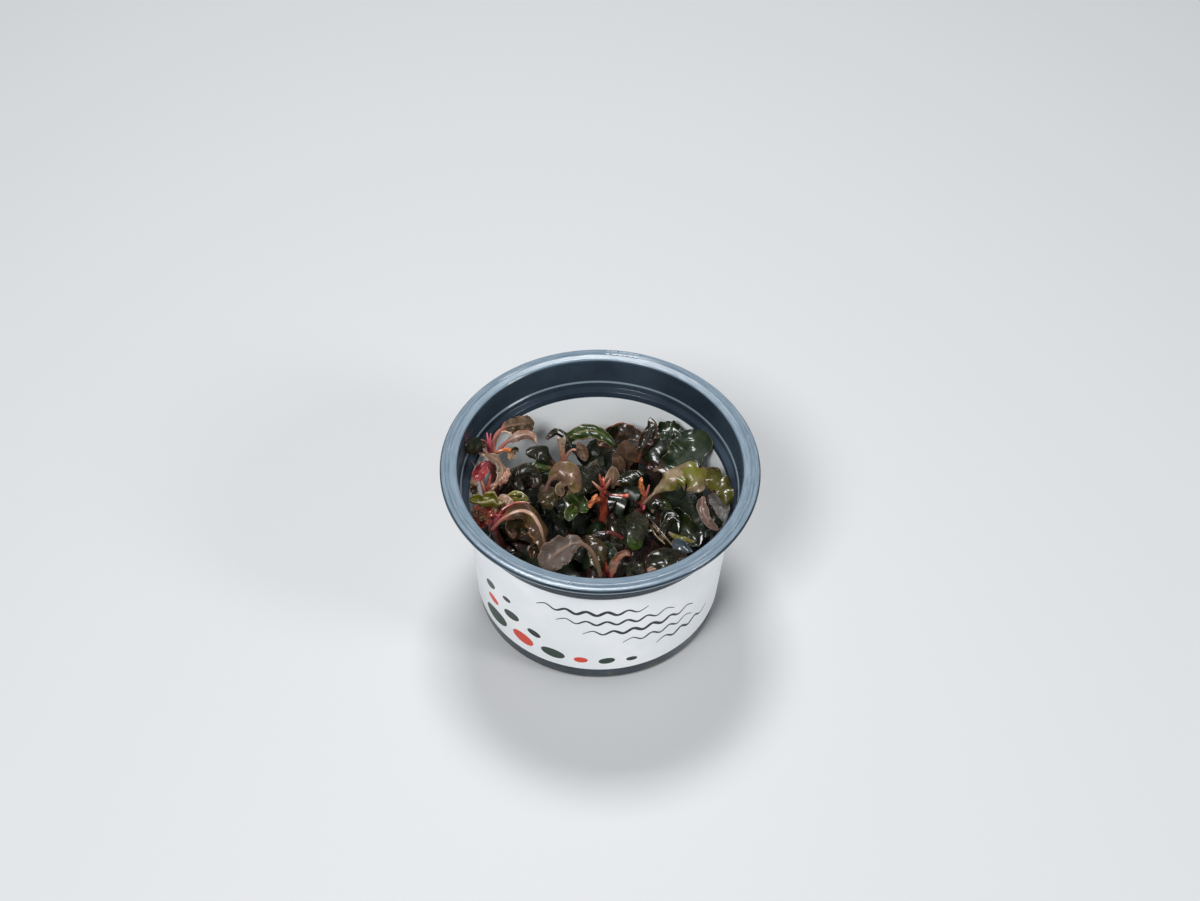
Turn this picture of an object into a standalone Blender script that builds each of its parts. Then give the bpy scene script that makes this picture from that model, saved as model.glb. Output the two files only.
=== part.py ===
"""Bucephalandra rosettes growing in a clear plastic tissue-culture cup.

Blender 4.5, metres, +Z up. The cup stands on Z = 0 with its centre line on Z, and -Y is its front.
Every plant piece is placed by hand-chosen points in millimetres, read off the photograph's view.
"""
import math

import bmesh
import bpy
from mathutils import Vector

MM = 0.001
WELD = 0.00001

# Cup, in millimetres
RIM_RADIUS = 47.5
CUP_HEIGHT = 58.0
BASE_RADIUS = 37.0
WALL_SLOPE = 0.068
WALL_THICKNESS = 0.8
WALL_TOP = 45.7
LEDGE_TOP = 48.6
COLLAR_INNER_RADIUS = 42.3
FLANGE_TOP = 57.5
BEAD_RADIUS = 45.3
LIP_DROP = 1.6
LIP_CORNER = 0.5
BEAD_HALF_WIDTH = 0.7
COLLAR_DRAFT = 0.6
LEDGE_WIDTH = 1.2
LEDGE_SLANT = 0.4
FOOT_STEP = 1.0
FOOT_RISE = 1.4
FOOT_INNER_RADIUS = 33.2
FOOT_SLANT = 0.8
FLOOR_RAISE = 1.0
TURN_STEPS = 40

# Label, in millimetres
LABEL_BOTTOM = 6.0
LABEL_TOP = 44.0
LABEL_THICKNESS = 0.25
FIT_GAP = 0.3
LABEL_SEAM_ANGLE = 18.0
LABEL_SEAM_GAP = 0.4

# Gel bed and the low leaves on it, in millimetres
GEL_TOP = 10.0
GEL_FOOT = 2.5
GEL_STEPS = 32
MENISCUS_WIDTH = 2.5
MENISCUS_HEIGHT = 0.4
LOW_LEAVES_WIDTH = 67.0
LOW_LEAVES_DEPTH = 62.0
LOW_LEAVES_FORWARD = -3.0
LOW_LEAVES_EDGE = 19.0
LOW_LEAVES_DOME = 0.35
LOW_LEAVES_FOOT = 0.6
WIDE_LUMPS = (5, 0.03)
SMALL_LUMPS = (11, 0.02)
CANOPY_MIDDLE = 29.0
CANOPY_BACK_RISE = 0.06
CANOPY_RIGHT_RISE = 0.1
CANOPY_CORNER_RISE = 0.005
LEAF_SHADOW = 2.5
LEAF_CLEARANCE = 2.0

# Leaves, in millimetres
LEAF_THICKNESS = 0.5
LEAF_SEGMENTS = 7
LONG_LEAF_SEGMENTS = 10
STALK_WIDTH = 1.2
TIP_WIDTH = 0.8
BLADE_ROUNDNESS = 0.65
LINE_STEPS = 16

# Directions that a leaf's seen face looks in
SEEN = (0.0, -0.66, 0.75)
UP = (0.0, -0.3, 1.0)
FRONT = (0.0, -0.8, 0.6)
RIGHT = (0.8, -0.5, 0.6)


def clear_scene():
    for thing in list(bpy.data.objects):
        bpy.data.objects.remove(thing)


def new_collection(name):
    collection = bpy.data.collections.new(name)
    bpy.context.scene.collection.children.link(collection)
    return collection


def material(name, colour, roughness, transmission=0.0):
    made = bpy.data.materials.new(name)
    made.use_nodes = True
    shader = made.node_tree.nodes["Principled BSDF"]
    shader.inputs["Base Color"].default_value = (*colour, 1.0)
    shader.inputs["Roughness"].default_value = roughness
    shader.inputs["Metallic"].default_value = 0.0
    shader.inputs["Transmission Weight"].default_value = transmission
    return made


def finish(thing, name, looks, smooth_angle=None):
    """Name an object, give it its material and put it in the part's collection."""
    thing.name = name
    thing.data.name = name
    thing.data.materials.append(looks)
    for owner in list(thing.users_collection):
        owner.objects.unlink(thing)
    PARTS.objects.link(thing)
    if smooth_angle is not None:
        thing.data.shade_smooth()
        thing.data.set_sharp_from_angle(angle=math.radians(smooth_angle))
    return thing


def mesh_object(bm, name):
    """Turn a bmesh whose sizes are in millimetres into an object in metres."""
    bmesh.ops.scale(bm, vec=(MM, MM, MM), verts=bm.verts)
    mesh = bpy.data.meshes.new(name)
    bm.to_mesh(mesh)
    bm.free()
    made = bpy.data.objects.new(name, mesh)
    bpy.context.scene.collection.objects.link(made)
    return made


def turned(name, profile, looks, angle=360.0, steps=TURN_STEPS, start=0.0):
    """Turn a profile of (radius, height) round Z. It runs down the piece's outer side."""
    bm = bmesh.new()
    verts = [bm.verts.new((radius, 0.0, height)) for radius, height in profile]
    for first, second in zip(verts, verts[1:]):
        bm.edges.new((first, second))
    made = mesh_object(bm, name)
    made.rotation_euler.z = math.radians(start)
    screw = made.modifiers.new("Screw", "SCREW")
    screw.angle = math.radians(angle)
    screw.steps = steps
    screw.render_steps = steps
    screw.use_merge_vertices = True
    screw.merge_threshold = WELD
    return finish(made, name, looks, 30.0)


def wall_radius(height):
    """Outer radius of the tapered wall at a height."""
    return BASE_RADIUS + WALL_SLOPE * height


def build_cup():
    """One thin moulding: foot ring, tapered wall, two stacking ledges, collar and flanged rim."""
    inner_top = wall_radius(WALL_TOP) - WALL_THICKNESS
    foot_outer = BASE_RADIUS - FOOT_STEP
    floor_top = FLOOR_RAISE + WALL_THICKNESS
    half_slant = FOOT_SLANT * 0.5
    collar_low = COLLAR_INNER_RADIUS - COLLAR_DRAFT
    ledge_low = COLLAR_INNER_RADIUS - LEDGE_WIDTH
    under_flange = FLANGE_TOP - WALL_THICKNESS
    lip_inner = RIM_RADIUS - WALL_THICKNESS
    lip_bottom = FLANGE_TOP - LIP_DROP
    inside = [
        (0.0, floor_top),
        (FOOT_INNER_RADIUS - half_slant, floor_top),
        (FOOT_INNER_RADIUS + half_slant, WALL_THICKNESS),
        (foot_outer - LIP_CORNER, WALL_THICKNESS),
        (wall_radius(2.0) - WALL_THICKNESS, 2.0),
        (inner_top, WALL_TOP + LIP_CORNER),
        (ledge_low - 0.1, WALL_TOP + 1.0),
        (ledge_low, LEDGE_TOP - LEDGE_SLANT),
        (collar_low, LEDGE_TOP),
        (COLLAR_INNER_RADIUS, FLANGE_TOP - LIP_CORNER),
        (COLLAR_INNER_RADIUS + LEDGE_SLANT, FLANGE_TOP),
    ]
    rim = [
        (BEAD_RADIUS - BEAD_HALF_WIDTH, FLANGE_TOP),
        (BEAD_RADIUS, CUP_HEIGHT),
        (BEAD_RADIUS + BEAD_HALF_WIDTH, FLANGE_TOP),
        (RIM_RADIUS - LIP_CORNER, FLANGE_TOP),
        (RIM_RADIUS, FLANGE_TOP - LIP_CORNER),
        (RIM_RADIUS, lip_bottom),
        (lip_inner, lip_bottom),
        (lip_inner, under_flange),
    ]
    outside = [
        (COLLAR_INNER_RADIUS + WALL_THICKNESS, under_flange),
        (collar_low + WALL_THICKNESS, LEDGE_TOP - COLLAR_DRAFT),
        (ledge_low + WALL_THICKNESS, LEDGE_TOP - COLLAR_DRAFT - LIP_CORNER),
        (ledge_low + WALL_THICKNESS - 0.1, WALL_TOP + 0.3),
        (wall_radius(WALL_TOP), WALL_TOP),
        (wall_radius(FOOT_RISE), FOOT_RISE),
        (foot_outer, 0.0),
        (FOOT_INNER_RADIUS, 0.0),
        (FOOT_INNER_RADIUS - FOOT_SLANT, FLOOR_RAISE),
        (0.0, FLOOR_RAISE),
    ]
    return turned("cup", inside + rim + outside, CUP_PLASTIC)


def build_label():
    """A wrap of paper round the wall, open by a hair at its seam."""
    inner = FIT_GAP
    outer = FIT_GAP + LABEL_THICKNESS
    low = wall_radius(LABEL_BOTTOM)
    high = wall_radius(LABEL_TOP)
    profile = [
        (high + inner, LABEL_TOP),
        (high + outer, LABEL_TOP),
        (low + outer, LABEL_BOTTOM),
        (low + inner, LABEL_BOTTOM),
        (high + inner, LABEL_TOP),
    ]
    seam = math.degrees(LABEL_SEAM_GAP / high)
    label = turned("label", profile, LABEL_PAPER, 360.0 - seam, start=LABEL_SEAM_ANGLE)
    return cap_ends(label)


def cap_ends(thing):
    """Apply a part-turn's modifiers and close its two ends."""
    mesh = applied_mesh(thing)
    bm = bmesh.new()
    bm.from_mesh(mesh)
    bmesh.ops.remove_doubles(bm, verts=bm.verts, dist=WELD)
    ends = [edge for edge in bm.edges if edge.is_boundary]
    bmesh.ops.holes_fill(bm, edges=ends)
    bmesh.ops.recalc_face_normals(bm, faces=bm.faces)
    bm.to_mesh(mesh)
    bm.free()
    thing.modifiers.clear()
    thing.data = mesh
    return thing


def applied_mesh(thing):
    graph = bpy.context.evaluated_depsgraph_get()
    return bpy.data.meshes.new_from_object(thing.evaluated_get(graph))


def build_gel():
    """The clear bed that fills the foot of the cup up to GEL_TOP."""
    clear = WALL_THICKNESS + FIT_GAP
    top_radius = wall_radius(GEL_TOP) - clear
    profile = [
        (0.0, GEL_TOP - MENISCUS_HEIGHT),
        (top_radius - MENISCUS_WIDTH, GEL_TOP - MENISCUS_HEIGHT),
        (top_radius, GEL_TOP),
        (wall_radius(GEL_FOOT) - clear, GEL_FOOT),
        (BASE_RADIUS - GEL_FOOT - 0.1, FLOOR_RAISE + clear),
        (0.0, FLOOR_RAISE + clear),
    ]
    return turned("gel", profile, GEL, steps=GEL_STEPS)


def canopy(x, y):
    """How high the low leaves may reach: higher towards the right, the more so the further back."""
    behind = max(y, 0.0)
    return CANOPY_MIDDLE + CANOPY_BACK_RISE * behind + (CANOPY_RIGHT_RISE + CANOPY_CORNER_RISE * behind) * x


def height_under_leaves(x, y):
    """The canopy's height at a place, or lower where a leaf passes over it."""
    height = canopy(x, y)
    for line, width, drop in LEAF_LINES:
        for place in line:
            if math.hypot(place.x - x, place.y - y) < width * 0.5 + LEAF_SHADOW:
                height = min(height, place.z - drop - LEAF_CLEARANCE)
    return height


def build_low_leaves():
    """The cushion of small low leaves: one lumpy solid below the others, cut free of the stems."""
    bm = bmesh.new()
    bmesh.ops.create_uvsphere(bm, u_segments=28, v_segments=16, radius=1.0)
    floor = GEL_TOP + FIT_GAP
    for vert in bm.verts:
        turn = math.atan2(vert.co.y, vert.co.x)
        lump = 1.0
        for count, size in (WIDE_LUMPS, SMALL_LUMPS):
            lump += size * math.sin(count * turn + count)
        level = vert.co.z
        vert.co.x *= LOW_LEAVES_WIDTH * 0.5 * lump
        vert.co.y = vert.co.y * LOW_LEAVES_DEPTH * 0.5 * lump + LOW_LEAVES_FORWARD
        top = height_under_leaves(vert.co.x, vert.co.y)
        if abs(level) < 0.05:
            vert.co.z = LOW_LEAVES_EDGE
        elif level > 0.0:
            vert.co.z = LOW_LEAVES_EDGE + (top - LOW_LEAVES_EDGE) * level ** LOW_LEAVES_DOME
        else:
            vert.co.z = floor + (LOW_LEAVES_EDGE - floor) * (1.0 + level) * LOW_LEAVES_FOOT
    cushion = mesh_object(bm, "low_leaves")
    for cutter in STEM_CUTTERS:
        cut = cushion.modifiers.new("Clear " + cutter.name, "BOOLEAN")
        cut.operation = "DIFFERENCE"
        cut.object = cutter
    return finish(cushion, "low_leaves", LOW_LEAF)


def tube(points, radius, name, resolution=1):
    """A round bar through points in millimetres, made a closed mesh."""
    curve = bpy.data.curves.new(name, "CURVE")
    curve.dimensions = "3D"
    curve.bevel_depth = radius * MM
    curve.bevel_resolution = resolution
    curve.use_fill_caps = True
    spline = curve.splines.new("POLY")
    spline.points.add(len(points) - 1)
    for place, point in zip(spline.points, points):
        place.co = (*(Vector(point) * MM), 1.0)
    bar = bpy.data.objects.new(name, curve)
    bpy.context.scene.collection.objects.link(bar)
    mesh = applied_mesh(bar)
    bpy.data.objects.remove(bar)
    bm = bmesh.new()
    bm.from_mesh(mesh)
    bmesh.ops.remove_doubles(bm, verts=bm.verts, dist=WELD)
    bmesh.ops.recalc_face_normals(bm, faces=bm.faces)
    bm.to_mesh(mesh)
    bm.free()
    made = bpy.data.objects.new(name, mesh)
    bpy.context.scene.collection.objects.link(made)
    return made


def as_cutter(thing):
    thing.hide_render = True
    thing.display_type = "WIRE"
    for owner in list(thing.users_collection):
        owner.objects.unlink(thing)
    CUTTERS.objects.link(thing)
    return thing


def joined(thing, others):
    """Join closed solids into the first of them."""
    for other in others:
        join = thing.modifiers.new("Join " + other.name, "BOOLEAN")
        join.operation = "UNION"
        join.object = as_cutter(other)
    return thing


def build_stem(name, looks, points, radius, side=None, side_radius=0.6):
    """A crown's upright stem from just above the gel, with a side stub if it has one."""
    foot = (points[0][0], points[0][1], GEL_TOP + FIT_GAP)
    stem = tube([foot] + points, radius, name, 2)
    below = (foot[0], foot[1], GEL_TOP * 0.5)
    STEM_CUTTERS.append(as_cutter(tube([below] + points, radius + FIT_GAP, name + "_room", 2)))
    if side:
        joined(stem, [tube(side, side_radius, name + "_side")])
    return finish(stem, name, looks, 40.0)


def smooth_line(points, count):
    """Evenly spaced places, count + 1 of them, on a smooth line through the points."""
    last = len(points) - 1
    dense = []
    for i in range(last):
        before = Vector(points[max(i - 1, 0)])
        start = Vector(points[i])
        end = Vector(points[i + 1])
        after = Vector(points[min(i + 2, last)])
        for k in range(LINE_STEPS):
            t = k / LINE_STEPS
            pull = (end - before) * 0.5
            push = (after - start) * 0.5
            ease = t * t * (3.0 - 2.0 * t)
            rise = t * (1.0 - t) * (1.0 - t)
            fall = -t * t * (1.0 - t)
            dense.append(start.lerp(end, ease) + pull * rise + push * fall)
    dense.append(Vector(points[-1]))
    run = [0.0]
    for first, second in zip(dense, dense[1:]):
        run.append(run[-1] + (second - first).length)
    line = []
    at = 0
    for k in range(count + 1):
        want = run[-1] * k / count
        while at < len(run) - 2 and run[at + 1] < want:
            at += 1
        share = (want - run[at]) / (run[at + 1] - run[at])
        line.append(dense[at].lerp(dense[at + 1], share))
    return line


def blade_width(t, width, stalk, widest):
    """Full width at a share t of the leaf's length: a narrow stalk, then an oval blade.

    widest is the share of the blade's length at which it is broadest.
    """
    if t <= stalk:
        return STALK_WIDTH
    s = min((t - stalk) / (1.0 - stalk), 0.999)
    bias = math.log(0.5) / math.log(widest)
    oval = width * math.sin(math.pi * s ** bias) ** BLADE_ROUNDNESS
    least = STALK_WIDTH if s < 0.5 else TIP_WIDTH
    return max(oval, least)


def leaf(name, looks, points, width, face=SEEN, tip_face=None, stalk=0.0, cup=0.0, widest=0.45):
    """A leaf bent along its midrib: a flat grid, shaped, then given its thickness.

    points run along the midrib in millimetres. face and tip_face are the directions in which the
    seen side looks at the two ends. cup lifts the edges (or drops them) by that share of the half width.
    """
    segments = LEAF_SEGMENTS if len(points) < 6 else LONG_LEAF_SEGMENTS
    line = smooth_line(points, segments)
    LEAF_LINES.append((line, width, max(-cup, 0.0) * width * 0.5))
    start_face = Vector(face).normalized()
    end_face = Vector(tip_face or face).normalized()
    bm = bmesh.new()
    bmesh.ops.create_grid(bm, x_segments=segments, y_segments=2, size=1.0)
    for vert in bm.verts:
        across = vert.co.y
        k = round((vert.co.x + 1.0) * 0.5 * segments)
        t = k / segments
        along = (line[min(k + 1, segments)] - line[max(k - 1, 0)]).normalized()
        side = along.cross(start_face.lerp(end_face, t)).normalized()
        normal = side.cross(along)
        half = blade_width(t, width, stalk, widest) * 0.5
        lift = cup * half * across * across
        vert.co = line[k] - side * across * half + normal * lift
    made = mesh_object(bm, name)
    thick = made.modifiers.new("Thickness", "SOLIDIFY")
    thick.thickness = LEAF_THICKNESS * MM
    thick.offset = 0.0
    return finish(made, name, looks, 60.0)


def left_leaves():
    leaf("leaf_left_1", LOOK["brown"],
         [(-32.5, 15.0, 47.0), (-32.0, 16.5, 50.0), (-29.5, 19.5, 50.5), (-25.0, 22.5, 49.0),
          (-20.5, 25.0, 47.0)],
         5.0, face=SEEN, tip_face=UP, stalk=0.35, cup=-0.2)
    leaf("leaf_left_2", LOOK["pink"],
         [(-31.0, 14.5, 46.0), (-28.5, 16.0, 48.0), (-25.5, 16.5, 50.0), (-22.5, 18.0, 49.5),
          (-20.5, 17.5, 48.5), (-19.5, 16.0, 47.0)],
         3.2, face=SEEN, stalk=0.15, cup=-0.5)
    leaf("leaf_left_3", LOOK["dark"],
         [(-34.5, 12.0, 50.5), (-36.5, 10.5, 52.5), (-39.0, 8.5, 54.0), (-40.5, 7.5, 55.5)],
         4.6, face=SEEN, stalk=0.1, cup=-0.3)
    leaf("leaf_left_4", LOOK["beige"],
         [(-33.5, 3.0, 42.0), (-31.0, 3.5, 43.5), (-29.5, 6.5, 46.0), (-32.0, 9.0, 48.5),
          (-37.0, 10.0, 49.5)],
         4.4, face=(1.0, -0.3, 0.6), tip_face=UP, stalk=0.1, cup=-0.3)
    leaf("leaf_left_5", LOOK["red"],
         [(-37.5, 1.5, 46.5), (-35.5, 3.5, 49.0), (-33.5, 6.0, 50.5)],
         4.2, face=SEEN, cup=0.9)
    leaf("leaf_left_6", LOOK["yellow"],
         [(-28.5, -4.0, 43.0), (-31.5, -6.0, 44.5), (-35.0, -7.5, 46.0), (-39.0, -7.0, 47.5)],
         6.6, face=UP, cup=0.8)
    leaf("leaf_left_7", LOOK["beige"],
         [(-30.5, -2.5, 43.0), (-29.0, -2.5, 42.5), (-27.5, -4.5, 42.0), (-29.0, -6.0, 40.5)],
         4.0, face=SEEN, cup=-0.4)
    leaf("leaf_left_8", LOOK["orange"],
         [(-33.5, -8.0, 39.0), (-35.5, -7.0, 42.0), (-37.5, -6.5, 43.0)],
         3.4, face=SEEN, cup=0.5)
    leaf("leaf_left_9", LOOK["olivebrown"],
         [(-32.5, -10.5, 38.0), (-28.5, -9.0, 42.0), (-23.5, -8.0, 44.5), (-19.5, -10.5, 45.0),
          (-17.0, -14.5, 43.5), (-16.0, -18.5, 41.5), (-17.0, -20.5, 40.0)],
         7.4, face=(0.0, -0.4, 0.9), tip_face=RIGHT, stalk=0.3, cup=-0.5)
    leaf("leaf_left_10", LOOK["olive"],
         [(-19.5, -4.5, 36.0), (-23.0, -7.5, 38.0), (-25.5, -10.0, 38.5), (-25.5, -13.0, 37.0)],
         6.0, face=SEEN, cup=0.3)
    leaf("leaf_left_11", LOOK["brown"],
         [(-16.0, -10.5, 35.0), (-18.5, -15.5, 36.0), (-20.0, -18.5, 35.0)],
         5.2, face=SEEN, cup=0.3)
    leaf("leaf_left_12", LOOK["olive"],
         [(-27.5, -1.0, 39.5), (-24.5, -2.0, 41.0), (-21.0, -1.0, 40.5)],
         4.6, face=SEEN, cup=0.5)


def back_leaves():
    leaf("leaf_back_1", LOOK["dark"],
         [(-13.0, 19.5, 33.0), (-16.0, 18.5, 38.0), (-19.5, 19.0, 40.5), (-23.0, 17.5, 41.0)],
         4.6, face=UP, stalk=0.15, cup=-0.4)
    leaf("leaf_back_2", LOOK["darkbrown"],
         [(-19.0, 10.0, 37.5), (-21.0, 10.5, 35.0), (-23.0, 10.5, 34.5), (-25.0, 10.5, 35.5),
          (-26.5, 10.5, 37.5)],
         8.4, face=SEEN, stalk=0.1, cup=0.85)
    leaf("leaf_back_3", LOOK["gloss"],
         [(-18.0, 11.0, 33.0), (-16.5, 6.5, 35.0), (-16.0, 3.0, 35.0), (-17.0, 2.0, 33.0)],
         6.6, face=SEEN, cup=-0.3)
    leaf("leaf_back_4", LOOK["green"],
         [(-11.0, 22.0, 36.0), (-11.0, 24.0, 39.5), (-7.5, 25.5, 42.0), (-3.0, 26.0, 43.0),
          (1.5, 24.5, 42.0), (4.5, 22.5, 39.0)],
         4.8, face=SEEN, tip_face=UP, stalk=0.12, cup=-0.3)
    leaf("leaf_back_5", LOOK["palebrown"],
         [(9.0, 20.0, 31.0), (8.0, 20.0, 36.0), (8.0, 20.5, 40.5), (7.5, 21.5, 44.0)],
         6.6, face=SEEN, stalk=0.12, cup=0.3)
    leaf("leaf_back_6", LOOK["palebrown"],
         [(6.5, 17.5, 33.5), (5.5, 17.5, 38.0), (4.0, 18.5, 41.5)],
         3.4, face=SEEN, stalk=0.1, cup=0.3)
    leaf("leaf_back_7", LOOK["dark"],
         [(11.5, 17.5, 38.0), (12.5, 19.5, 42.0), (14.5, 22.5, 45.0), (15.5, 25.5, 46.5),
          (15.0, 28.5, 47.0)],
         4.2, face=SEEN, stalk=0.1, cup=-0.3)
    leaf("leaf_back_8", LOOK["dark"],
         [(17.0, 26.0, 40.5), (19.5, 27.0, 42.0), (22.0, 27.0, 42.5), (25.5, 26.0, 42.5)],
         5.6, face=UP, tip_face=SEEN, cup=0.3)
    leaf("leaf_back_9", LOOK["darkbrown"],
         [(-1.0, 27.5, 34.0), (3.5, 29.0, 37.0), (8.5, 28.5, 39.0), (13.5, 26.0, 40.0)],
         5.0, face=SEEN, tip_face=UP, cup=0.2)
    leaf("leaf_back_10", LOOK["palebrown"],
         [(-4.5, 19.5, 36.0), (-6.0, 21.5, 39.0), (-7.0, 23.0, 41.0)],
         3.2, face=SEEN, cup=0.5)


def centre_leaves():
    leaf("leaf_centre_1", LOOK["olivedark"],
         [(-1.0, 19.5, 36.5), (-3.0, 12.5, 40.0), (-5.5, 5.5, 41.0), (-6.5, 2.5, 39.0)],
         9.4, face=UP, tip_face=SEEN, stalk=0.05, cup=-0.4)
    leaf("leaf_centre_2", LOOK["ochre"],
         [(-16.5, 5.0, 38.0), (-15.0, 6.5, 42.0), (-12.5, 7.0, 44.5), (-9.5, 6.5, 45.0),
          (-7.0, 4.0, 43.5), (-8.0, 2.0, 41.0)],
         6.6, face=SEEN, tip_face=(0.6, -0.5, 0.6), stalk=0.2, cup=-0.3)
    leaf("leaf_centre_3", LOOK["green"],
         [(-9.5, 8.5, 34.5), (-7.0, 4.0, 36.0), (-5.0, 1.5, 36.0), (-3.0, 1.0, 35.0)],
         5.6, face=SEEN, cup=0.3)
    leaf("leaf_centre_4", LOOK["green"],
         [(-7.0, 0.0, 37.0), (-8.5, -3.0, 38.0), (-9.5, -5.5, 37.0)],
         3.2, face=SEEN, cup=0.3)
    leaf("leaf_centre_5", LOOK["beige"],
         [(4.0, 10.5, 34.0), (4.0, 11.5, 38.5), (4.0, 12.5, 42.0)],
         3.6, face=SEEN, stalk=0.1, cup=0.3)
    leaf("leaf_centre_6", LOOK["olive"],
         [(5.0, 8.5, 38.0), (8.0, 9.5, 39.5), (11.0, 10.0, 40.5), (13.5, 10.0, 41.0)],
         4.0, face=SEEN, cup=-0.3)
    leaf("leaf_centre_7", LOOK["gloss"],
         [(11.0, -0.5, 37.0), (11.5, -7.0, 40.5), (11.5, -12.0, 41.5), (11.0, -16.0, 40.0),
          (10.5, -17.0, 38.0)],
         8.8, face=SEEN, tip_face=FRONT, stalk=0.05, cup=-0.4)


def right_leaves():
    leaf("leaf_right_1", LOOK["teal"],
         [(16.0, 14.0, 38.5), (20.5, 14.0, 40.5), (25.0, 15.5, 42.5), (28.0, 20.0, 44.0),
          (28.5, 25.5, 45.5)],
         11.5, face=SEEN, tip_face=(-0.3, -0.8, 0.6), stalk=0.08, cup=0.25)
    leaf("leaf_right_2", LOOK["gloss"],
         [(12.5, 19.5, 35.5), (15.0, 19.5, 39.0), (18.0, 20.5, 41.0), (22.0, 21.0, 41.5)],
         8.0, face=UP, tip_face=SEEN, stalk=0.05, cup=-0.3)
    leaf("leaf_right_3", LOOK["brown"],
         [(14.5, 16.0, 38.0), (18.5, 15.5, 39.0), (22.5, 18.0, 39.0)],
         3.2, face=SEEN, cup=0.3)
    leaf("leaf_right_4", LOOK["olive"],
         [(30.5, 8.5, 47.0), (33.0, 4.5, 49.5), (35.0, -0.5, 51.5), (37.5, -5.5, 52.0),
          (37.5, -8.5, 49.5)],
         5.6, face=UP, stalk=0.05, cup=-0.3)
    leaf("leaf_right_5", LOOK["olivebeige"],
         [(13.0, -1.0, 40.0), (16.5, 1.0, 43.5), (20.5, 2.5, 47.0), (25.0, 3.0, 49.0),
          (28.5, 1.5, 49.0), (30.0, -1.5, 47.0)],
         9.6, face=UP, tip_face=SEEN, stalk=0.12, cup=-0.4)
    leaf("leaf_right_6", LOOK["pinkbrown"],
         [(31.0, -3.0, 47.0), (30.5, -7.5, 47.5), (32.0, -11.5, 46.5), (35.5, -14.0, 44.5)],
         3.0, face=SEEN, cup=-0.3)
    leaf("leaf_right_7", LOOK["lilac"],
         [(34.0, -1.0, 47.5), (35.5, -5.0, 48.0), (36.5, -9.0, 48.0), (36.5, -11.5, 46.5)],
         5.6, face=SEEN, cup=0.3)
    leaf("leaf_right_8", LOOK["gloss"],
         [(15.5, 7.5, 33.5), (20.5, 4.5, 37.5), (26.0, 0.0, 39.5), (30.5, -5.5, 39.0),
          (32.0, -10.5, 36.5)],
         8.6, face=SEEN, stalk=0.05, cup=-0.2)
    leaf("leaf_right_9", LOOK["gloss"],
         [(17.0, -0.5, 32.0), (22.0, -4.5, 36.0), (27.0, -9.0, 37.0), (30.5, -13.0, 36.0)],
         8.0, face=SEEN, cup=0.3)
    leaf("leaf_right_10", LOOK["olivebrown"],
         [(16.0, -4.5, 40.5), (16.5, -3.0, 43.0), (18.5, -2.5, 43.5), (20.5, -4.0, 42.5)],
         4.0, face=UP, tip_face=(1.0, 0.0, 0.5), cup=-0.5)


def front_leaves():
    leaf("leaf_front_1", LOOK["greybrown"],
         [(1.0, -25.5, 35.5), (-0.5, -23.5, 41.0), (-3.0, -21.5, 44.5), (-6.5, -20.5, 45.5),
          (-10.5, -22.0, 44.5), (-14.0, -24.5, 43.0), (-17.0, -27.0, 41.5)],
         9.0, face=SEEN, stalk=0.45, cup=0.1)
    leaf("leaf_front_2", LOOK["olivebrown"],
         [(2.0, -23.5, 33.0), (1.5, -21.5, 38.5), (-0.5, -18.5, 41.5), (-4.0, -14.5, 41.5)],
         6.0, face=(1.0, -0.3, 0.6), tip_face=UP, cup=-0.3)
    leaf("leaf_front_3", LOOK["pink"],
         [(4.0, -24.0, 34.0), (4.5, -23.0, 37.5), (6.0, -22.0, 40.5), (8.0, -21.0, 41.5),
          (9.5, -21.5, 41.0)],
         3.6, face=SEEN, tip_face=UP, stalk=0.1, cup=-0.4)
    leaf("leaf_front_4", LOOK["teal"],
         [(3.0, -21.0, 32.5), (2.5, -18.5, 36.5), (2.5, -15.5, 40.5)],
         4.8, face=SEEN, cup=0.3)
    leaf("leaf_front_5", LOOK["maroon"],
         [(17.0, -7.0, 30.0), (15.0, -13.5, 32.5), (13.0, -19.0, 33.0)],
         7.4, face=SEEN, cup=0.3)
    leaf("leaf_front_6", LOOK["greygreen"],
         [(9.0, -24.0, 34.0), (10.0, -23.5, 37.5), (12.5, -23.5, 38.5), (14.0, -25.5, 37.0)],
         3.8, face=UP, cup=-0.4)
    leaf("leaf_front_7", LOOK["greygreen"],
         [(14.0, -22.5, 36.0), (17.0, -21.0, 38.5), (21.0, -20.0, 39.5), (26.5, -19.5, 39.0)],
         5.2, face=SEEN, cup=0.2)
    leaf("leaf_front_8", LOOK["slate"],
         [(22.0, -13.5, 38.5), (25.0, -16.5, 39.5), (28.0, -17.5, 39.0)],
         4.0, face=SEEN, cup=0.3)


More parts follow.
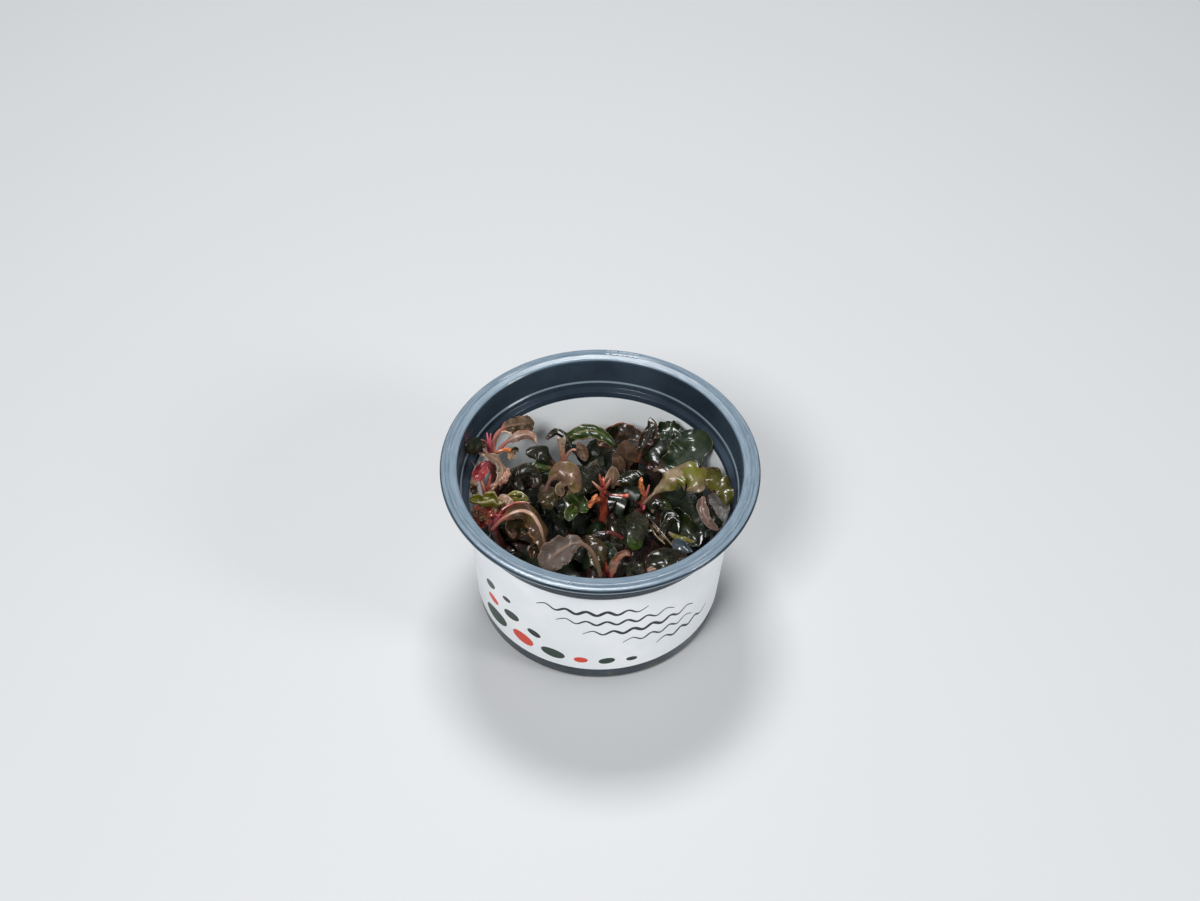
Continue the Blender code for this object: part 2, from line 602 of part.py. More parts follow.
def build_stems():
    """One stem for each little plant, and what is left of two cut leaf stalks and two dead ones."""
    build_stem("stem_left_back", LOOK["red"], [(-32.0, 11.5, 30.0), (-33.0, 12.5, 44.5)], 1.3)
    build_stem("stem_left_middle", LOOK["pink"], [(-31.5, 1.0, 28.0), (-34.0, 1.0, 40.0)], 1.2)
    build_stem("stem_left_front", LOOK["red"], [(-28.5, -9.0, 26.0), (-31.5, -9.5, 37.0)], 1.4)
    build_stem("stem_centre", LOOK["red"], [(1.5, 5.0, 25.0), (1.0, 7.5, 42.5)], 1.3,
               [(1.5, 5.5, 35.5), (5.0, 4.5, 35.5), (8.5, 4.0, 36.0)])
    build_stem("stem_right", LOOK["maroon"], [(12.5, 3.5, 25.0), (12.5, 4.0, 33.5)], 1.4)
    build_stem("stem_front", LOOK["red"], [(3.0, -17.0, 22.0), (3.0, -20.0, 32.0)], 1.2)
    build_stem("stem_back", LOOK["maroon"], [(-11.5, 18.0, 24.0), (-11.5, 19.0, 31.5)], 1.2)
    cut_stalk = tube([(-11.5, 19.5, 33.5), (-12.5, 21.0, 40.0), (-13.0, 20.5, 45.5)], 0.6, "cut_stalk")
    second = tube([(-11.6, 19.6, 34.0), (-11.6, 21.0, 40.0), (-11.0, 20.5, 45.5)], 0.6, "second_stalk")
    finish(joined(cut_stalk, [second]), "cut_stalk", LOOK["pink"], 40.0)
    stick = tube([(14.5, -3.0, 37.5), (19.5, -10.5, 37.5), (24.0, -16.5, 36.5)], 0.5, "dead_stalk")
    second = tube([(16.0, -6.5, 37.6), (18.0, -9.0, 37.3), (20.5, -11.5, 36.5)], 0.5, "second_dead_stalk")
    finish(joined(stick, [second]), "dead_stalk", LOOK["brown"], 40.0)


clear_scene()
PARTS = new_collection("bucephalandra")
CUTTERS = new_collection("cutters")
STEM_CUTTERS = []
LEAF_LINES = []
CUP_PLASTIC = material("cup plastic", (0.45, 0.52, 0.58), 0.2, 0.8)
LABEL_PAPER = material("label paper", (0.85, 0.87, 0.89), 0.5)
GEL = material("gel", (0.45, 0.47, 0.42), 0.1, 0.9)
LOW_LEAF = material("low leaf", (0.02, 0.03, 0.02), 0.4)
LOOK = {
    "beige": material("beige leaf", (0.42, 0.3, 0.2), 0.5),
    "brown": material("brown leaf", (0.16, 0.1, 0.05), 0.5),
    "dark": material("dark green leaf", (0.02, 0.04, 0.02), 0.3),
    "darkbrown": material("dark brown leaf", (0.04, 0.03, 0.02), 0.4),
    "gloss": material("glossy green leaf", (0.015, 0.035, 0.02), 0.2),
    "green": material("bright green leaf", (0.06, 0.16, 0.02), 0.35),
    "greybrown": material("grey brown underside", (0.25, 0.18, 0.15), 0.5),
    "greygreen": material("grey green leaf", (0.1, 0.11, 0.07), 0.45),
    "lilac": material("grey lilac underside", (0.22, 0.17, 0.17), 0.5),
    "maroon": material("maroon leaf", (0.1, 0.03, 0.03), 0.4),
    "ochre": material("ochre leaf", (0.25, 0.14, 0.04), 0.45),
    "olive": material("olive leaf", (0.14, 0.13, 0.03), 0.4),
    "olivebeige": material("olive and beige leaf", (0.25, 0.22, 0.1), 0.45),
    "olivebrown": material("olive brown leaf", (0.13, 0.09, 0.04), 0.4),
    "olivedark": material("dark olive leaf", (0.05, 0.06, 0.03), 0.35),
    "orange": material("orange brown scrap", (0.4, 0.12, 0.04), 0.5),
    "palebrown": material("pale brown underside", (0.26, 0.17, 0.1), 0.5),
    "pink": material("pale pink stalk", (0.55, 0.28, 0.2), 0.45),
    "pinkbrown": material("pink brown leaf", (0.3, 0.18, 0.15), 0.5),
    "red": material("red crown", (0.55, 0.06, 0.06), 0.4),
    "slate": material("slate blue leaf", (0.1, 0.13, 0.18), 0.3),
    "teal": material("dark teal leaf", (0.04, 0.08, 0.07), 0.3),
    "yellow": material("yellow green leaf", (0.32, 0.3, 0.06), 0.45),
}
build_cup()
build_label()
build_gel()
build_stems()
left_leaves()
back_leaves()
centre_leaves()
right_leaves()
front_leaves()
build_low_leaves()
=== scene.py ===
# %% [markdown]
# # A cup of small water plants
#
# The subject is a handful of bucephalandra rosettes, grown in a clear gel in a thin plastic cup with
# a white paper wrap. The solids of its main pieces come ready packed, at their real size. This script
# gives each of them its looks: finer shapes in the same places, and a finish for every surface.

import math
import random

import bpy
from mathutils import Matrix, Vector, noise


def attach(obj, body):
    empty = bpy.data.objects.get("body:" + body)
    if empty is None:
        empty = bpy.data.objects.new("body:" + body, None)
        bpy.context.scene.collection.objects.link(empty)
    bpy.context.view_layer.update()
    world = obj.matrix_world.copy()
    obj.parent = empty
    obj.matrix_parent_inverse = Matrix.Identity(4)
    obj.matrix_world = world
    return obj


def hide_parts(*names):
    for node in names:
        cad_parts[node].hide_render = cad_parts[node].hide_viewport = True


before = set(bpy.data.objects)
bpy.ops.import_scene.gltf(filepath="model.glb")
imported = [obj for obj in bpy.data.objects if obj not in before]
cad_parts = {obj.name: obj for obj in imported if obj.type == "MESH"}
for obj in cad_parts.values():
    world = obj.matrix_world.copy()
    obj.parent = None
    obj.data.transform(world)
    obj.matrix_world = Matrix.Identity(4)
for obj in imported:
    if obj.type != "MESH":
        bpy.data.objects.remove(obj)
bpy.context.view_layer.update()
MM = 0.001

# %% [markdown]
# ## Working by operators
#
# Blender's operators act on whatever is selected, and the frame arrives selected. So each piece starts
# by letting go of everything. A finished piece keeps its place in its mesh, rides on the one body that
# a plant in its cup has, and hides the solid that it stands for, where it has one.

# %% Helpers for operators


def let_go():
    if bpy.context.mode != "OBJECT":
        bpy.ops.object.mode_set(mode="OBJECT")
    bpy.ops.object.select_all(action="DESELECT")


def hold(piece):
    let_go()
    piece.select_set(True)
    bpy.context.view_layer.objects.active = piece


def add_modifier(piece, kind, **settings):
    modifier = piece.modifiers.new(kind.title(), kind)
    for key, value in settings.items():
        setattr(modifier, key, value)
    return modifier


def apply_modifiers(piece):
    hold(piece)
    for modifier in list(piece.modifiers):
        bpy.ops.object.modifier_apply(modifier=modifier.name)


def settle(piece, name, slot, *nodes):
    """Name a finished piece, keep its place in its mesh and tie it to the frame."""
    hold(piece)
    bpy.ops.object.transform_apply(location=True, rotation=True, scale=True)
    piece.name = name
    piece.data.name = name
    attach(piece, "root")
    if nodes:
        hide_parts(*nodes)
    return piece


def join(pieces):
    """Make several pieces one mesh."""
    let_go()
    for piece in pieces:
        piece.select_set(True)
    bpy.context.view_layer.objects.active = pieces[0]
    bpy.ops.object.join()
    return pieces[0]


# %% [markdown]
# ## Camera, light and floor
#
# The photograph looks down on the cup at about 49 degrees with a fairly long lens, so the rim is a wide
# ellipse, and its near side hides the feet of the nearest plants. A camera is easiest to place by the
# point that it looks at, its height angle and its distance. Large soft lamps suit wet leaves and clear
# plastic, because their reflections are broad and pale.

# %% Camera
look_at = Vector((-0.0002, 0.0, 0.0634))
camera_height_angle = math.radians(48.87)
camera_roll = math.radians(1.36)
camera_distance = 0.639
camera_lens = 65.3

camera_data = bpy.data.cameras.new("camera")
camera_data.lens = camera_lens
camera_data.sensor_width = 36.0
camera_data.clip_start = 0.01
camera = bpy.data.objects.new("camera", camera_data)
bpy.context.scene.collection.objects.link(camera)
back = Vector((0.0, -math.cos(camera_height_angle), math.sin(camera_height_angle)))
tilt = Matrix.Rotation(math.pi / 2 - camera_height_angle, 4, "X")
camera.matrix_world = (
    Matrix.Translation(look_at + back * camera_distance) @ tilt @ Matrix.Rotation(camera_roll, 4, "Z")
)
bpy.context.scene.camera = camera
print("camera at", [round(value, 3) for value in camera.matrix_world.translation])

# %% Lamps and surroundings


def soft_lamp(name, place, target, size, power):
    data = bpy.data.lights.new(name, "AREA")
    data.shape = "RECTANGLE"
    data.size = size[0]
    data.size_y = size[1]
    data.energy = power
    lamp = bpy.data.objects.new(name, data)
    bpy.context.scene.collection.objects.link(lamp)
    aim = (Vector(target) - Vector(place)).to_track_quat("-Z", "Y")
    lamp.matrix_world = Matrix.Translation(place) @ aim.to_matrix().to_4x4()


middle = (0.0, 0.0, 0.03)
soft_lamp("lamp_back", (-0.05, 0.35, 0.8), middle, (0.26, 0.2), 5.0)
soft_lamp("lamp_front_left", (-0.3, -0.55, 0.85), middle, (0.3, 0.3), 7.8)
soft_lamp("lamp_right", (0.7, -0.3, 0.5), middle, (0.2, 0.26), 2.6)
world = bpy.data.worlds.new("studio")
world.use_nodes = True
world.node_tree.nodes["Background"].inputs["Color"].default_value = (0.86, 0.9, 0.95, 1.0)
world.node_tree.nodes["Background"].inputs["Strength"].default_value = 0.22
bpy.context.scene.world = world
bpy.context.scene.view_settings.view_transform = "Standard"

# %% [markdown]
# ## Writing finishes as nodes
#
# Every finish on the cup and its plants is a Principled shader with a few texture nodes. Some helpers
# that add a node and wire its inputs keep each finish short enough to read in one go. Colours are
# written as they look on a screen.

# %% A helper for node finishes


class Finish:
    """A material under construction: add nodes, wire them, and set the shader's own sockets."""

    def __init__(self, name, **constants):
        self.material = bpy.data.materials.new(name)
        self.material.use_nodes = True
        self.tree = self.material.node_tree
        self.shader = self.tree.nodes["Principled BSDF"]
        for key, value in constants.items():
            self.feed(self.shader.inputs[key.replace("_", " ").title().replace("Ior", "IOR")], value)

    def feed(self, socket, value):
        """Fill a socket with a wire from another node, a colour or a number."""
        if isinstance(value, bpy.types.NodeSocket):
            self.tree.links.new(value, socket)
        elif isinstance(value, tuple):
            socket.default_value = (*value, 1.0)
        else:
            socket.default_value = value

    def wire(self, socket, value):
        self.feed(self.shader.inputs[socket], value)

    def node(self, kind, settings=None, **wires):
        """Add a node; in0 and so on name its inputs by number, other words by name."""
        made = self.tree.nodes.new("ShaderNode" + kind)
        for key, value in (settings or {}).items():
            setattr(made, key, value)
        for key, value in wires.items():
            name = key.replace("_", " ").title() if not key.startswith("in") else int(key[2:])
            self.feed(made.inputs[name], value)
        return made

    def math(self, operation, first, second=0.0):
        return self.node("Math", {"operation": operation}, in0=first, in1=second).outputs[0]

    def both(self, first, *others):
        """The product of some shares: high only where all of them are."""
        for other in others:
            first = self.math("MULTIPLY", first, other)
        return first

    def record(self, name):
        """The three numbers that every point of a piece carries under a name."""
        carried = self.node("Attribute", {"attribute_name": name})
        return self.node("SeparateXYZ", in0=carried.outputs["Vector"])

    def ramp(self, value, low, high, start=0.0, end=1.0):
        """Map value's low to start and its high to end, smoothly and clamped."""
        made = self.node("MapRange", {"interpolation_type": "SMOOTHSTEP"}, in0=value, in1=low, in2=high,
                         in3=start, in4=end)
        return made.outputs[0]

    def mix(self, share, first, second):
        """A colour between two others."""
        return self.node("Mix", {"data_type": "RGBA"}, in0=share, in6=first, in7=second).outputs[2]

    def mix_value(self, share, first, second):
        """A number between two others."""
        return self.node("Mix", in0=share, in2=first, in3=second).outputs[0]

    def place(self):
        return self.node("TexCoord").outputs["Object"]

    def noise(self, scale, detail=3.0, vector=None):
        made = self.node("TexNoise", in0=vector or self.place(), scale=scale, detail=detail)
        return made.outputs["Fac"]

    def bump(self, height, strength, distance):
        made = self.node("Bump", strength=strength, distance=distance, height=height)
        self.wire("Normal", made.outputs["Normal"])

    def dress(self, piece):
        """Give a piece this finish in place of any other."""
        piece.data.materials.clear()
        piece.data.materials.append(self.material)


def seen(red, green, blue):
    """A colour written as it is seen on a screen, from 0 to 255, turned into light values."""
    return tuple((value / 255.0) ** 2.2 for value in (red, green, blue))


print("finish helper ready")

# %% Floor
let_go()
bpy.ops.mesh.primitive_plane_add(size=6.0, location=(0.0, 0.0, 0.0))
floor = bpy.context.object
floor.name = "studio_floor"
Finish("studio floor", base_color=(0.5, 0.51, 0.52), roughness=0.6).dress(floor)
print("floor", [round(side, 2) for side in floor.dimensions])

# %% [markdown]
# ## The cup
#
# The cup is one thin moulding in a slightly blue, half-clear plastic: a floor on a small foot ring, a
# tapered wall, two small ledges that let empty cups stack, a short collar and a flange with a bead for
# the sealing film. Such a turned shape could be a profile with a Screw modifier. Here it is drawn up from
# one circle, ring by ring, by extruding the last ring's edges and resizing them, the way a potter pulls
# up a wall. A small bevel afterwards gives every step the soft edge that catches the light.

# %% Pull up a ring-shaped wall
RING_STEPS = 144


def pull_rings(profile, steps=RING_STEPS):
    """Draw a closed round shape from a profile of (radius, height) in mm that starts and ends flat."""
    let_go()
    radius, height = profile[0]
    bpy.ops.mesh.primitive_circle_add(vertices=steps, radius=radius * MM, fill_type="NGON",
                                      location=(0.0, 0.0, height * MM))
    piece = bpy.context.object
    bpy.ops.object.transform_apply(location=True)
    bpy.ops.object.mode_set(mode="EDIT")
    for next_radius, next_height in profile[1:]:
        bpy.ops.mesh.extrude_edges_move()
        grow = next_radius / radius
        bpy.ops.transform.resize(value=(grow, grow, 1.0), center_override=(0.0, 0.0, 0.0))
        bpy.ops.transform.translate(value=(0.0, 0.0, (next_height - height) * MM))
        radius, height = next_radius, next_height
    bpy.ops.mesh.edge_face_add()
    bpy.ops.mesh.select_all(action="SELECT")
    bpy.ops.mesh.normals_make_consistent(inside=False)
    bpy.ops.object.mode_set(mode="OBJECT")
    return piece


def smooth_by_angle(piece, angle=35.0):
    hold(piece)
    bpy.ops.object.shade_smooth_by_angle(angle=math.radians(angle))


# %% Cup sizes
RIM_RADIUS = 47.5
CUP_HEIGHT = 58.0
FLANGE_TOP = 57.5
BASE_RADIUS = 37.0
WALL_SLOPE = 0.068
WALL = 0.8
WALL_TOP = 45.7
LEDGE_TOP = 48.6
COLLAR_RADIUS = 42.3
FOOT_RADIUS = 33.2
FLOOR_RADIUS = 12.0
BEAD_RADIUS = 45.3
FLANGE_DIP = 0.25


def wall_radius(height):
    """Outer radius of the tapered wall at a height, in mm."""
    return BASE_RADIUS + WALL_SLOPE * height


inside_of_cup = [
    (FLOOR_RADIUS, 1.8),
    (FOOT_RADIUS - 0.4, 1.8),
    (FOOT_RADIUS + 0.5, 0.9),
    (BASE_RADIUS - 1.6, 0.9),
    (wall_radius(2.2) - WALL, 2.4),
    (wall_radius(20.0) - WALL, 20.0),
    (wall_radius(43.0) - WALL, 43.0),
    (wall_radius(WALL_TOP) - WALL, WALL_TOP + 0.4),
    (COLLAR_RADIUS - 1.35, WALL_TOP + 0.9),
    (COLLAR_RADIUS - 1.2, LEDGE_TOP - 0.5),
    (COLLAR_RADIUS - 0.65, LEDGE_TOP),
    (COLLAR_RADIUS - 0.1, FLANGE_TOP - 0.8),
    (COLLAR_RADIUS + 0.5, FLANGE_TOP - 0.1),
]
rim_of_cup = [
    (BEAD_RADIUS - 0.7, FLANGE_TOP - 0.1),
    (BEAD_RADIUS - 0.3, CUP_HEIGHT - 0.1),
    (BEAD_RADIUS, CUP_HEIGHT),
    (BEAD_RADIUS + 0.3, CUP_HEIGHT - 0.1),
    (BEAD_RADIUS + 0.7, FLANGE_TOP - FLANGE_DIP),
    (RIM_RADIUS - 0.6, FLANGE_TOP - FLANGE_DIP),
    (RIM_RADIUS, FLANGE_TOP - 0.9),
    (RIM_RADIUS, FLANGE_TOP - 1.6),
    (RIM_RADIUS - 0.7, FLANGE_TOP - 1.6),
    (RIM_RADIUS - 0.9, FLANGE_TOP - 1.1),
]
outside_of_cup = [
    (COLLAR_RADIUS + 0.9, FLANGE_TOP - 1.0),
    (COLLAR_RADIUS + 0.5, FLANGE_TOP - 1.5),
    (COLLAR_RADIUS + 0.1, LEDGE_TOP - 0.4),
    (COLLAR_RADIUS - 0.4, LEDGE_TOP - 1.0),
    (COLLAR_RADIUS - 0.5, WALL_TOP + 0.3),
    (wall_radius(WALL_TOP), WALL_TOP - 0.1),
    (wall_radius(20.0), 20.0),
    (wall_radius(1.4), 1.4),
    (BASE_RADIUS - 1.0, 0.0),
    (FOOT_RADIUS, 0.0),
    (FOOT_RADIUS - 0.8, 1.0),
    (FLOOR_RADIUS, 1.0),
]
print("rings in the cup", len(inside_of_cup) + len(rim_of_cup) + len(outside_of_cup))

# %% Draw the cup
cup = pull_rings(inside_of_cup + rim_of_cup + outside_of_cup)
add_modifier(cup, "BEVEL", width=0.22 * MM, segments=2, limit_method="ANGLE", angle_limit=math.radians(20))
apply_modifiers(cup)
smooth_by_angle(cup)
settle(cup, "cup_moulding", "cup_plastic", "cup")
print("cup faces", len(cup.data.polygons), "height mm", round(cup.dimensions.z * 1000, 2))

# %% [markdown]
# ## Half-clear plastic
#
# This plastic is neither glass nor paint: some light goes straight through, some is scattered in it, so
# it looks slate blue where it is thick or seen at a slant, and paler where the thin wall lies on the
# white label. A Principled shader with part transmission does both. The tint and the transmission
# follow the height, because paper behind the wall makes it pale and closed. Height and radius also find
# the flange, which is finely rubbed along its circle and carries a painted sheen that makes it paler in
# streaks, and two painted highlights: a pale line on the lower edge of the lip and a bright line on the
# edge of the upper ledge. Below the label, brown roots show through the wall in blots. Slow noises add
# the faint waves and the dull places that a moulding has.

# %% Cup plastic
LABEL_BOTTOM = 6.0
LABEL_TOP = 44.0
plastic = Finish("cup plastic", ior=1.49, specular_ior_level=0.24)
place_in_cup = plastic.node("SeparateXYZ", in0=plastic.place())
across_cup, into_cup, height = place_in_cup.outputs
height_mm = plastic.math("MULTIPLY", height, 1000.0)
square_x = plastic.both(across_cup, across_cup)
square_y = plastic.both(into_cup, into_cup)
radius = plastic.math("SQRT", plastic.math("ADD", square_x, square_y))
radius_mm = plastic.math("MULTIPLY", radius, 1000.0)
above_label = plastic.ramp(height_mm, LABEL_TOP - 0.3, LABEL_TOP + 0.1)
below_label = plastic.ramp(height_mm, LABEL_BOTTOM + 0.1, LABEL_BOTTOM - 0.2)
bare = plastic.math("MAXIMUM", above_label, below_label)
haze = plastic.ramp(plastic.noise(45.0, 3.0), 0.3, 0.7)
slate = plastic.mix(haze, seen(46, 57, 68), seen(64, 77, 90))
on_paper = plastic.mix(haze, seen(232, 237, 239), seen(240, 244, 245))

# Painted sheen: the flange is painted paler, in streaks along its circle, for the light it reflects; the
# streaks also stand for fine rubbing.
turn_round = plastic.math("MULTIPLY", plastic.math("ARCTAN2", into_cup, across_cup), 9.0)
out_from_middle = plastic.math("MULTIPLY", radius_mm, 2.6)
rubbed = plastic.node("CombineXYZ", in0=turn_round, in1=out_from_middle, in2=height_mm)
scratches_and_sheen = plastic.ramp(plastic.noise(1.0, 4.0, rubbed.outputs[0]), 0.35, 0.7)
flange_painted_sheen = plastic.mix(scratches_and_sheen, seen(118, 137, 152), seen(140, 157, 171))
on_flange = plastic.ramp(height_mm, FLANGE_TOP - 0.55, FLANGE_TOP - 0.35)
slate = plastic.mix(on_flange, slate, flange_painted_sheen)
# Painted highlight: a pale line on the lower edge of the lip.
below_flange = plastic.ramp(height_mm, FLANGE_TOP - 1.0, FLANGE_TOP - 1.15)
lip_edge_highlight = plastic.both(below_flange, plastic.ramp(radius_mm, RIM_RADIUS - 0.6, RIM_RADIUS - 0.3))
slate = plastic.mix(lip_edge_highlight, slate, seen(150, 166, 172))
# Painted highlight: a bright line on the edge of the upper ledge, inside the cup.
ledge_low = plastic.ramp(height_mm, LEDGE_TOP - 0.4, LEDGE_TOP - 0.25)
ledge_high = plastic.ramp(height_mm, LEDGE_TOP + 0.2, LEDGE_TOP + 0.05)
inner_side = plastic.ramp(radius_mm, COLLAR_RADIUS - 0.3, COLLAR_RADIUS - 0.4)
ledge_highlight = plastic.both(ledge_low, ledge_high, inner_side)
slate = plastic.mix(ledge_highlight, slate, seen(130, 146, 156))
blots = plastic.ramp(plastic.noise(190.0, 3.0), 0.52, 0.7, 0.0, 0.6)
slate = plastic.mix(plastic.both(below_label, blots), slate, seen(98, 92, 76))
plastic.wire("Base Color", plastic.mix(bare, on_paper, slate))
plastic.wire("Transmission Weight", plastic.ramp(bare, 0.0, 1.0, 0.0, 0.3))
plastic.wire("Roughness", plastic.ramp(plastic.noise(900.0, 2.0), 0.4, 0.8, 0.15, 0.23))
plastic.bump(plastic.noise(90.0, 2.0), 0.06, 0.0006)
plastic.dress(cup)
print("cup plastic nodes", len(plastic.tree.nodes))

# %% [markdown]
# ## Torn sealing film
#
# A film was welded to the bead and has been peeled off. What stays are thin, jagged, whitish
# shreds along the bead, and one thicker patch at the back. Each shred starts as a small flat grid whose
# edge points are pushed in and out, laid round the bead by angle, and all of them are one piece.

# %% Film shreds
FILM_HEIGHT = 57.86
NARROW_SHREDS = 54
PATCH_SHREDS = 5
PATCH_ANGLE = 78.0


def film_shred(angle, width, length, height, seed):
    """A jagged flake on the bead; angle in degrees from +X, sizes in mm."""
    let_go()
    bpy.ops.mesh.primitive_grid_add(x_subdivisions=9, y_subdivisions=3, size=1.0)
    flake = bpy.context.object
    dice = random.Random(seed)
    for vert in flake.data.vertices:
        ragged = 1.0 + dice.uniform(-0.5, 0.35) * abs(vert.co.y) * 2.0
        turn = math.radians(angle) + vert.co.x * length / BEAD_RADIUS
        radius = BEAD_RADIUS + vert.co.y * width * ragged
        lift = height + dice.uniform(-0.04, 0.04) - 0.35 * abs(vert.co.y)
        vert.co = (radius * math.cos(turn) * MM, radius * math.sin(turn) * MM, lift * MM)
    add_modifier(flake, "SOLIDIFY", thickness=0.08 * MM, offset=0.0)
    apply_modifiers(flake)
    return flake


dice = random.Random(4)
shreds = []
for number in range(NARROW_SHREDS):
    angle = number * 360.0 / NARROW_SHREDS + dice.uniform(-2.5, 2.5)
    shreds.append(film_shred(angle, dice.uniform(0.35, 0.8), dice.uniform(1.5, 5.0), FILM_HEIGHT, number))
for number in range(PATCH_SHREDS):
    shreds.append(film_shred(PATCH_ANGLE + 2.2 * number, 1.5, 3.2, FILM_HEIGHT - 0.06, 100 + number))
film = join(shreds)
smooth_by_angle(film, 40.0)
settle(film, "film_shreds", "cup_plastic")
film_finish = Finish("torn film", roughness=0.35, transmission_weight=0.3)
shreds_cloud = film_finish.noise(700.0)
film_finish.wire("Base Color", film_finish.mix(shreds_cloud, seen(120, 138, 152), seen(205, 214, 220)))
film_finish.dress(film)
print("film shreds", len(shreds), "faces", len(film.data.polygons))

# %% [markdown]
# ## The label
#
# The label is a strip of white paper wrapped round the taper, its right end stuck over its left one.
# A flat grid is bent round the cone point by point: its length becomes an angle and its width a
# height. The last few millimetres lie one paper thickness further out, which gives the seam a real edge.

# %% Wrap the label
PAPER = 0.2
PAPER_GAP = 0.06
SEAM_ANGLE = 18.0
OVERLAP_ANGLE = 9.0


def on_wall(angle, height, lift):
    """A place in metres, from an angle in degrees from +X, a height and a lift off the wall in mm."""
    radius = (wall_radius(height) + lift) * MM
    turn = math.radians(angle)
    return Vector((radius * math.cos(turn), radius * math.sin(turn), height * MM))


let_go()
bpy.ops.mesh.primitive_grid_add(x_subdivisions=200, y_subdivisions=10, size=1.0)
label = bpy.context.object
for vert in label.data.vertices:
    angle = SEAM_ANGLE + (vert.co.x + 0.5) * (360.0 + OVERLAP_ANGLE)
    height = LABEL_BOTTOM + (vert.co.y + 0.5) * (LABEL_TOP - LABEL_BOTTOM)
    past = max(0.0, angle - SEAM_ANGLE - 360.0 + 1.0)
    lift = PAPER_GAP + PAPER * 0.5 + min(past, 1.0) * (PAPER + 0.03)
    vert.co = on_wall(angle, height, lift)
add_modifier(label, "SOLIDIFY", thickness=PAPER * MM, offset=0.0)
apply_modifiers(label)
hold(label)
bpy.ops.object.mode_set(mode="EDIT")
bpy.ops.mesh.select_all(action="SELECT")
bpy.ops.mesh.normals_make_consistent(inside=False)
bpy.ops.object.mode_set(mode="OBJECT")
smooth_by_angle(label, 40.0)
settle(label, "label_wrap", "label_paper", "label")
label_radius = wall_radius(LABEL_TOP) + PAPER_GAP + PAPER
print("label faces", len(label.data.polygons), "top radius mm", round(label_radius, 2))

# %% Label paper
paper = Finish("label paper", roughness=0.42, specular_ior_level=0.4)
fibres = paper.noise(1500.0, 5.0)
clouds = paper.noise(70.0, 2.0)
white = paper.mix(paper.ramp(clouds, 0.35, 0.7), seen(236, 240, 243), seen(244, 246, 248))
paper.wire("Base Color", paper.mix(paper.ramp(fibres, 0.62, 0.8, 0.0, 0.25), white, seen(214, 220, 225)))
paper.bump(fibres, 0.08, 0.0001)
paper.dress(label)
print("label paper nodes", len(paper.tree.nodes))

# %% [markdown]
# ## A plain printed design
#
# The label carries a simple decoration of its own: pebbles in dark green, orange red and black, and a
# few wave lines over them. Ink has almost no thickness, but as real thin shapes laid on the paper
# it stays sharp from every side. Each shape is drawn flat, in millimetres along the label and up it, and
# one function bends it round the cone.

# %% Print helpers
FRONT_ANGLE = -90.0
INK = 0.05
ink_lift = PAPER_GAP + PAPER
degrees_per_mm = 360.0 / (2.0 * math.pi * wall_radius(25.0))


def smooth_line(points, count):
    """count + 1 evenly spaced places on a smooth line through the points."""
    last = len(points) - 1
    dense = []
    for i in range(last):
        before = Vector(points[max(i - 1, 0)])
        start = Vector(points[i])
        end = Vector(points[i + 1])
        after = Vector(points[min(i + 2, last)])
        for k in range(16):
            t = k / 16
            pull = (end - before) * 0.5
            push = (after - start) * 0.5
            ease = t * t * (3.0 - 2.0 * t)
            rise = t * (1.0 - t) * (1.0 - t)
            fall = -t * t * (1.0 - t)
            dense.append(start.lerp(end, ease) + pull * rise + push * fall)
    dense.append(Vector(points[-1]))
    run = [0.0]
    for first, second in zip(dense, dense[1:]):
        run.append(run[-1] + (second - first).length)
    line = []
    at = 0
    for k in range(count + 1):
        want = run[-1] * k / count
        while at < len(run) - 2 and run[at + 1] < want:
            at += 1
        share = (want - run[at]) / (run[at + 1] - run[at])
        line.append(dense[at].lerp(dense[at + 1], share))
    return line


def bend_onto_label(piece):
    """Bend a flat drawing, x along the label and y up it in mm, round the wall."""
    for vert in piece.data.vertices:
        angle = FRONT_ANGLE + vert.co.x * degrees_per_mm
        vert.co = on_wall(angle, vert.co.y, ink_lift)
    add_modifier(piece, "SOLIDIFY", thickness=INK * MM, offset=0.0)
    apply_modifiers(piece)
    return piece


def ink_strip(path, widths, sections=40):
    """A strip along a smooth path of (x, y) in mm; widths are its full widths from end to end."""
    let_go()
    bpy.ops.mesh.primitive_grid_add(x_subdivisions=sections, y_subdivisions=2, size=1.0)
    strip = bpy.context.object
    line = smooth_line([(x, y, 0.0) for x, y in path], sections)
    for vert in strip.data.vertices:
        k = round((vert.co.x + 0.5) * sections)
        across = vert.co.y * 2.0
        along = (line[min(k + 1, sections)] - line[max(k - 1, 0)]).normalized()
        share = k / sections * (len(widths) - 1)
        first = min(int(share), len(widths) - 2)
        ease = share - first
        half = 0.5 * (widths[first] * (1.0 - ease) + widths[first + 1] * ease)
        side = Vector((-along.y, along.x, 0.0))
        vert.co = line[k] + side * across * half
    return strip


def ink_finish(name, colour, worn):
    made = Finish(name, roughness=0.35)
    grain = made.ramp(made.noise(2200.0, 2.0), 0.55, 0.8, 0.0, 0.5)
    made.wire("Base Color", made.mix(grain, colour, worn))
    return made


def print_piece(name, strips, ink):
    drawing = join([bend_onto_label(strip) for strip in strips])
    smooth_by_angle(drawing, 40.0)
    settle(drawing, name, "label_paper")
    ink.dress(drawing)
    print(name, "faces", len(drawing.data.polygons))


green_ink = ink_finish("green ink", seen(26, 52, 38), seen(54, 84, 62))
red_ink = ink_finish("orange red ink", seen(214, 62, 34), seen(230, 118, 88))
black_ink = ink_finish("black ink", seen(24, 26, 29), seen(66, 70, 75))

# %% Pebbles
PEBBLE_STEPS = 18


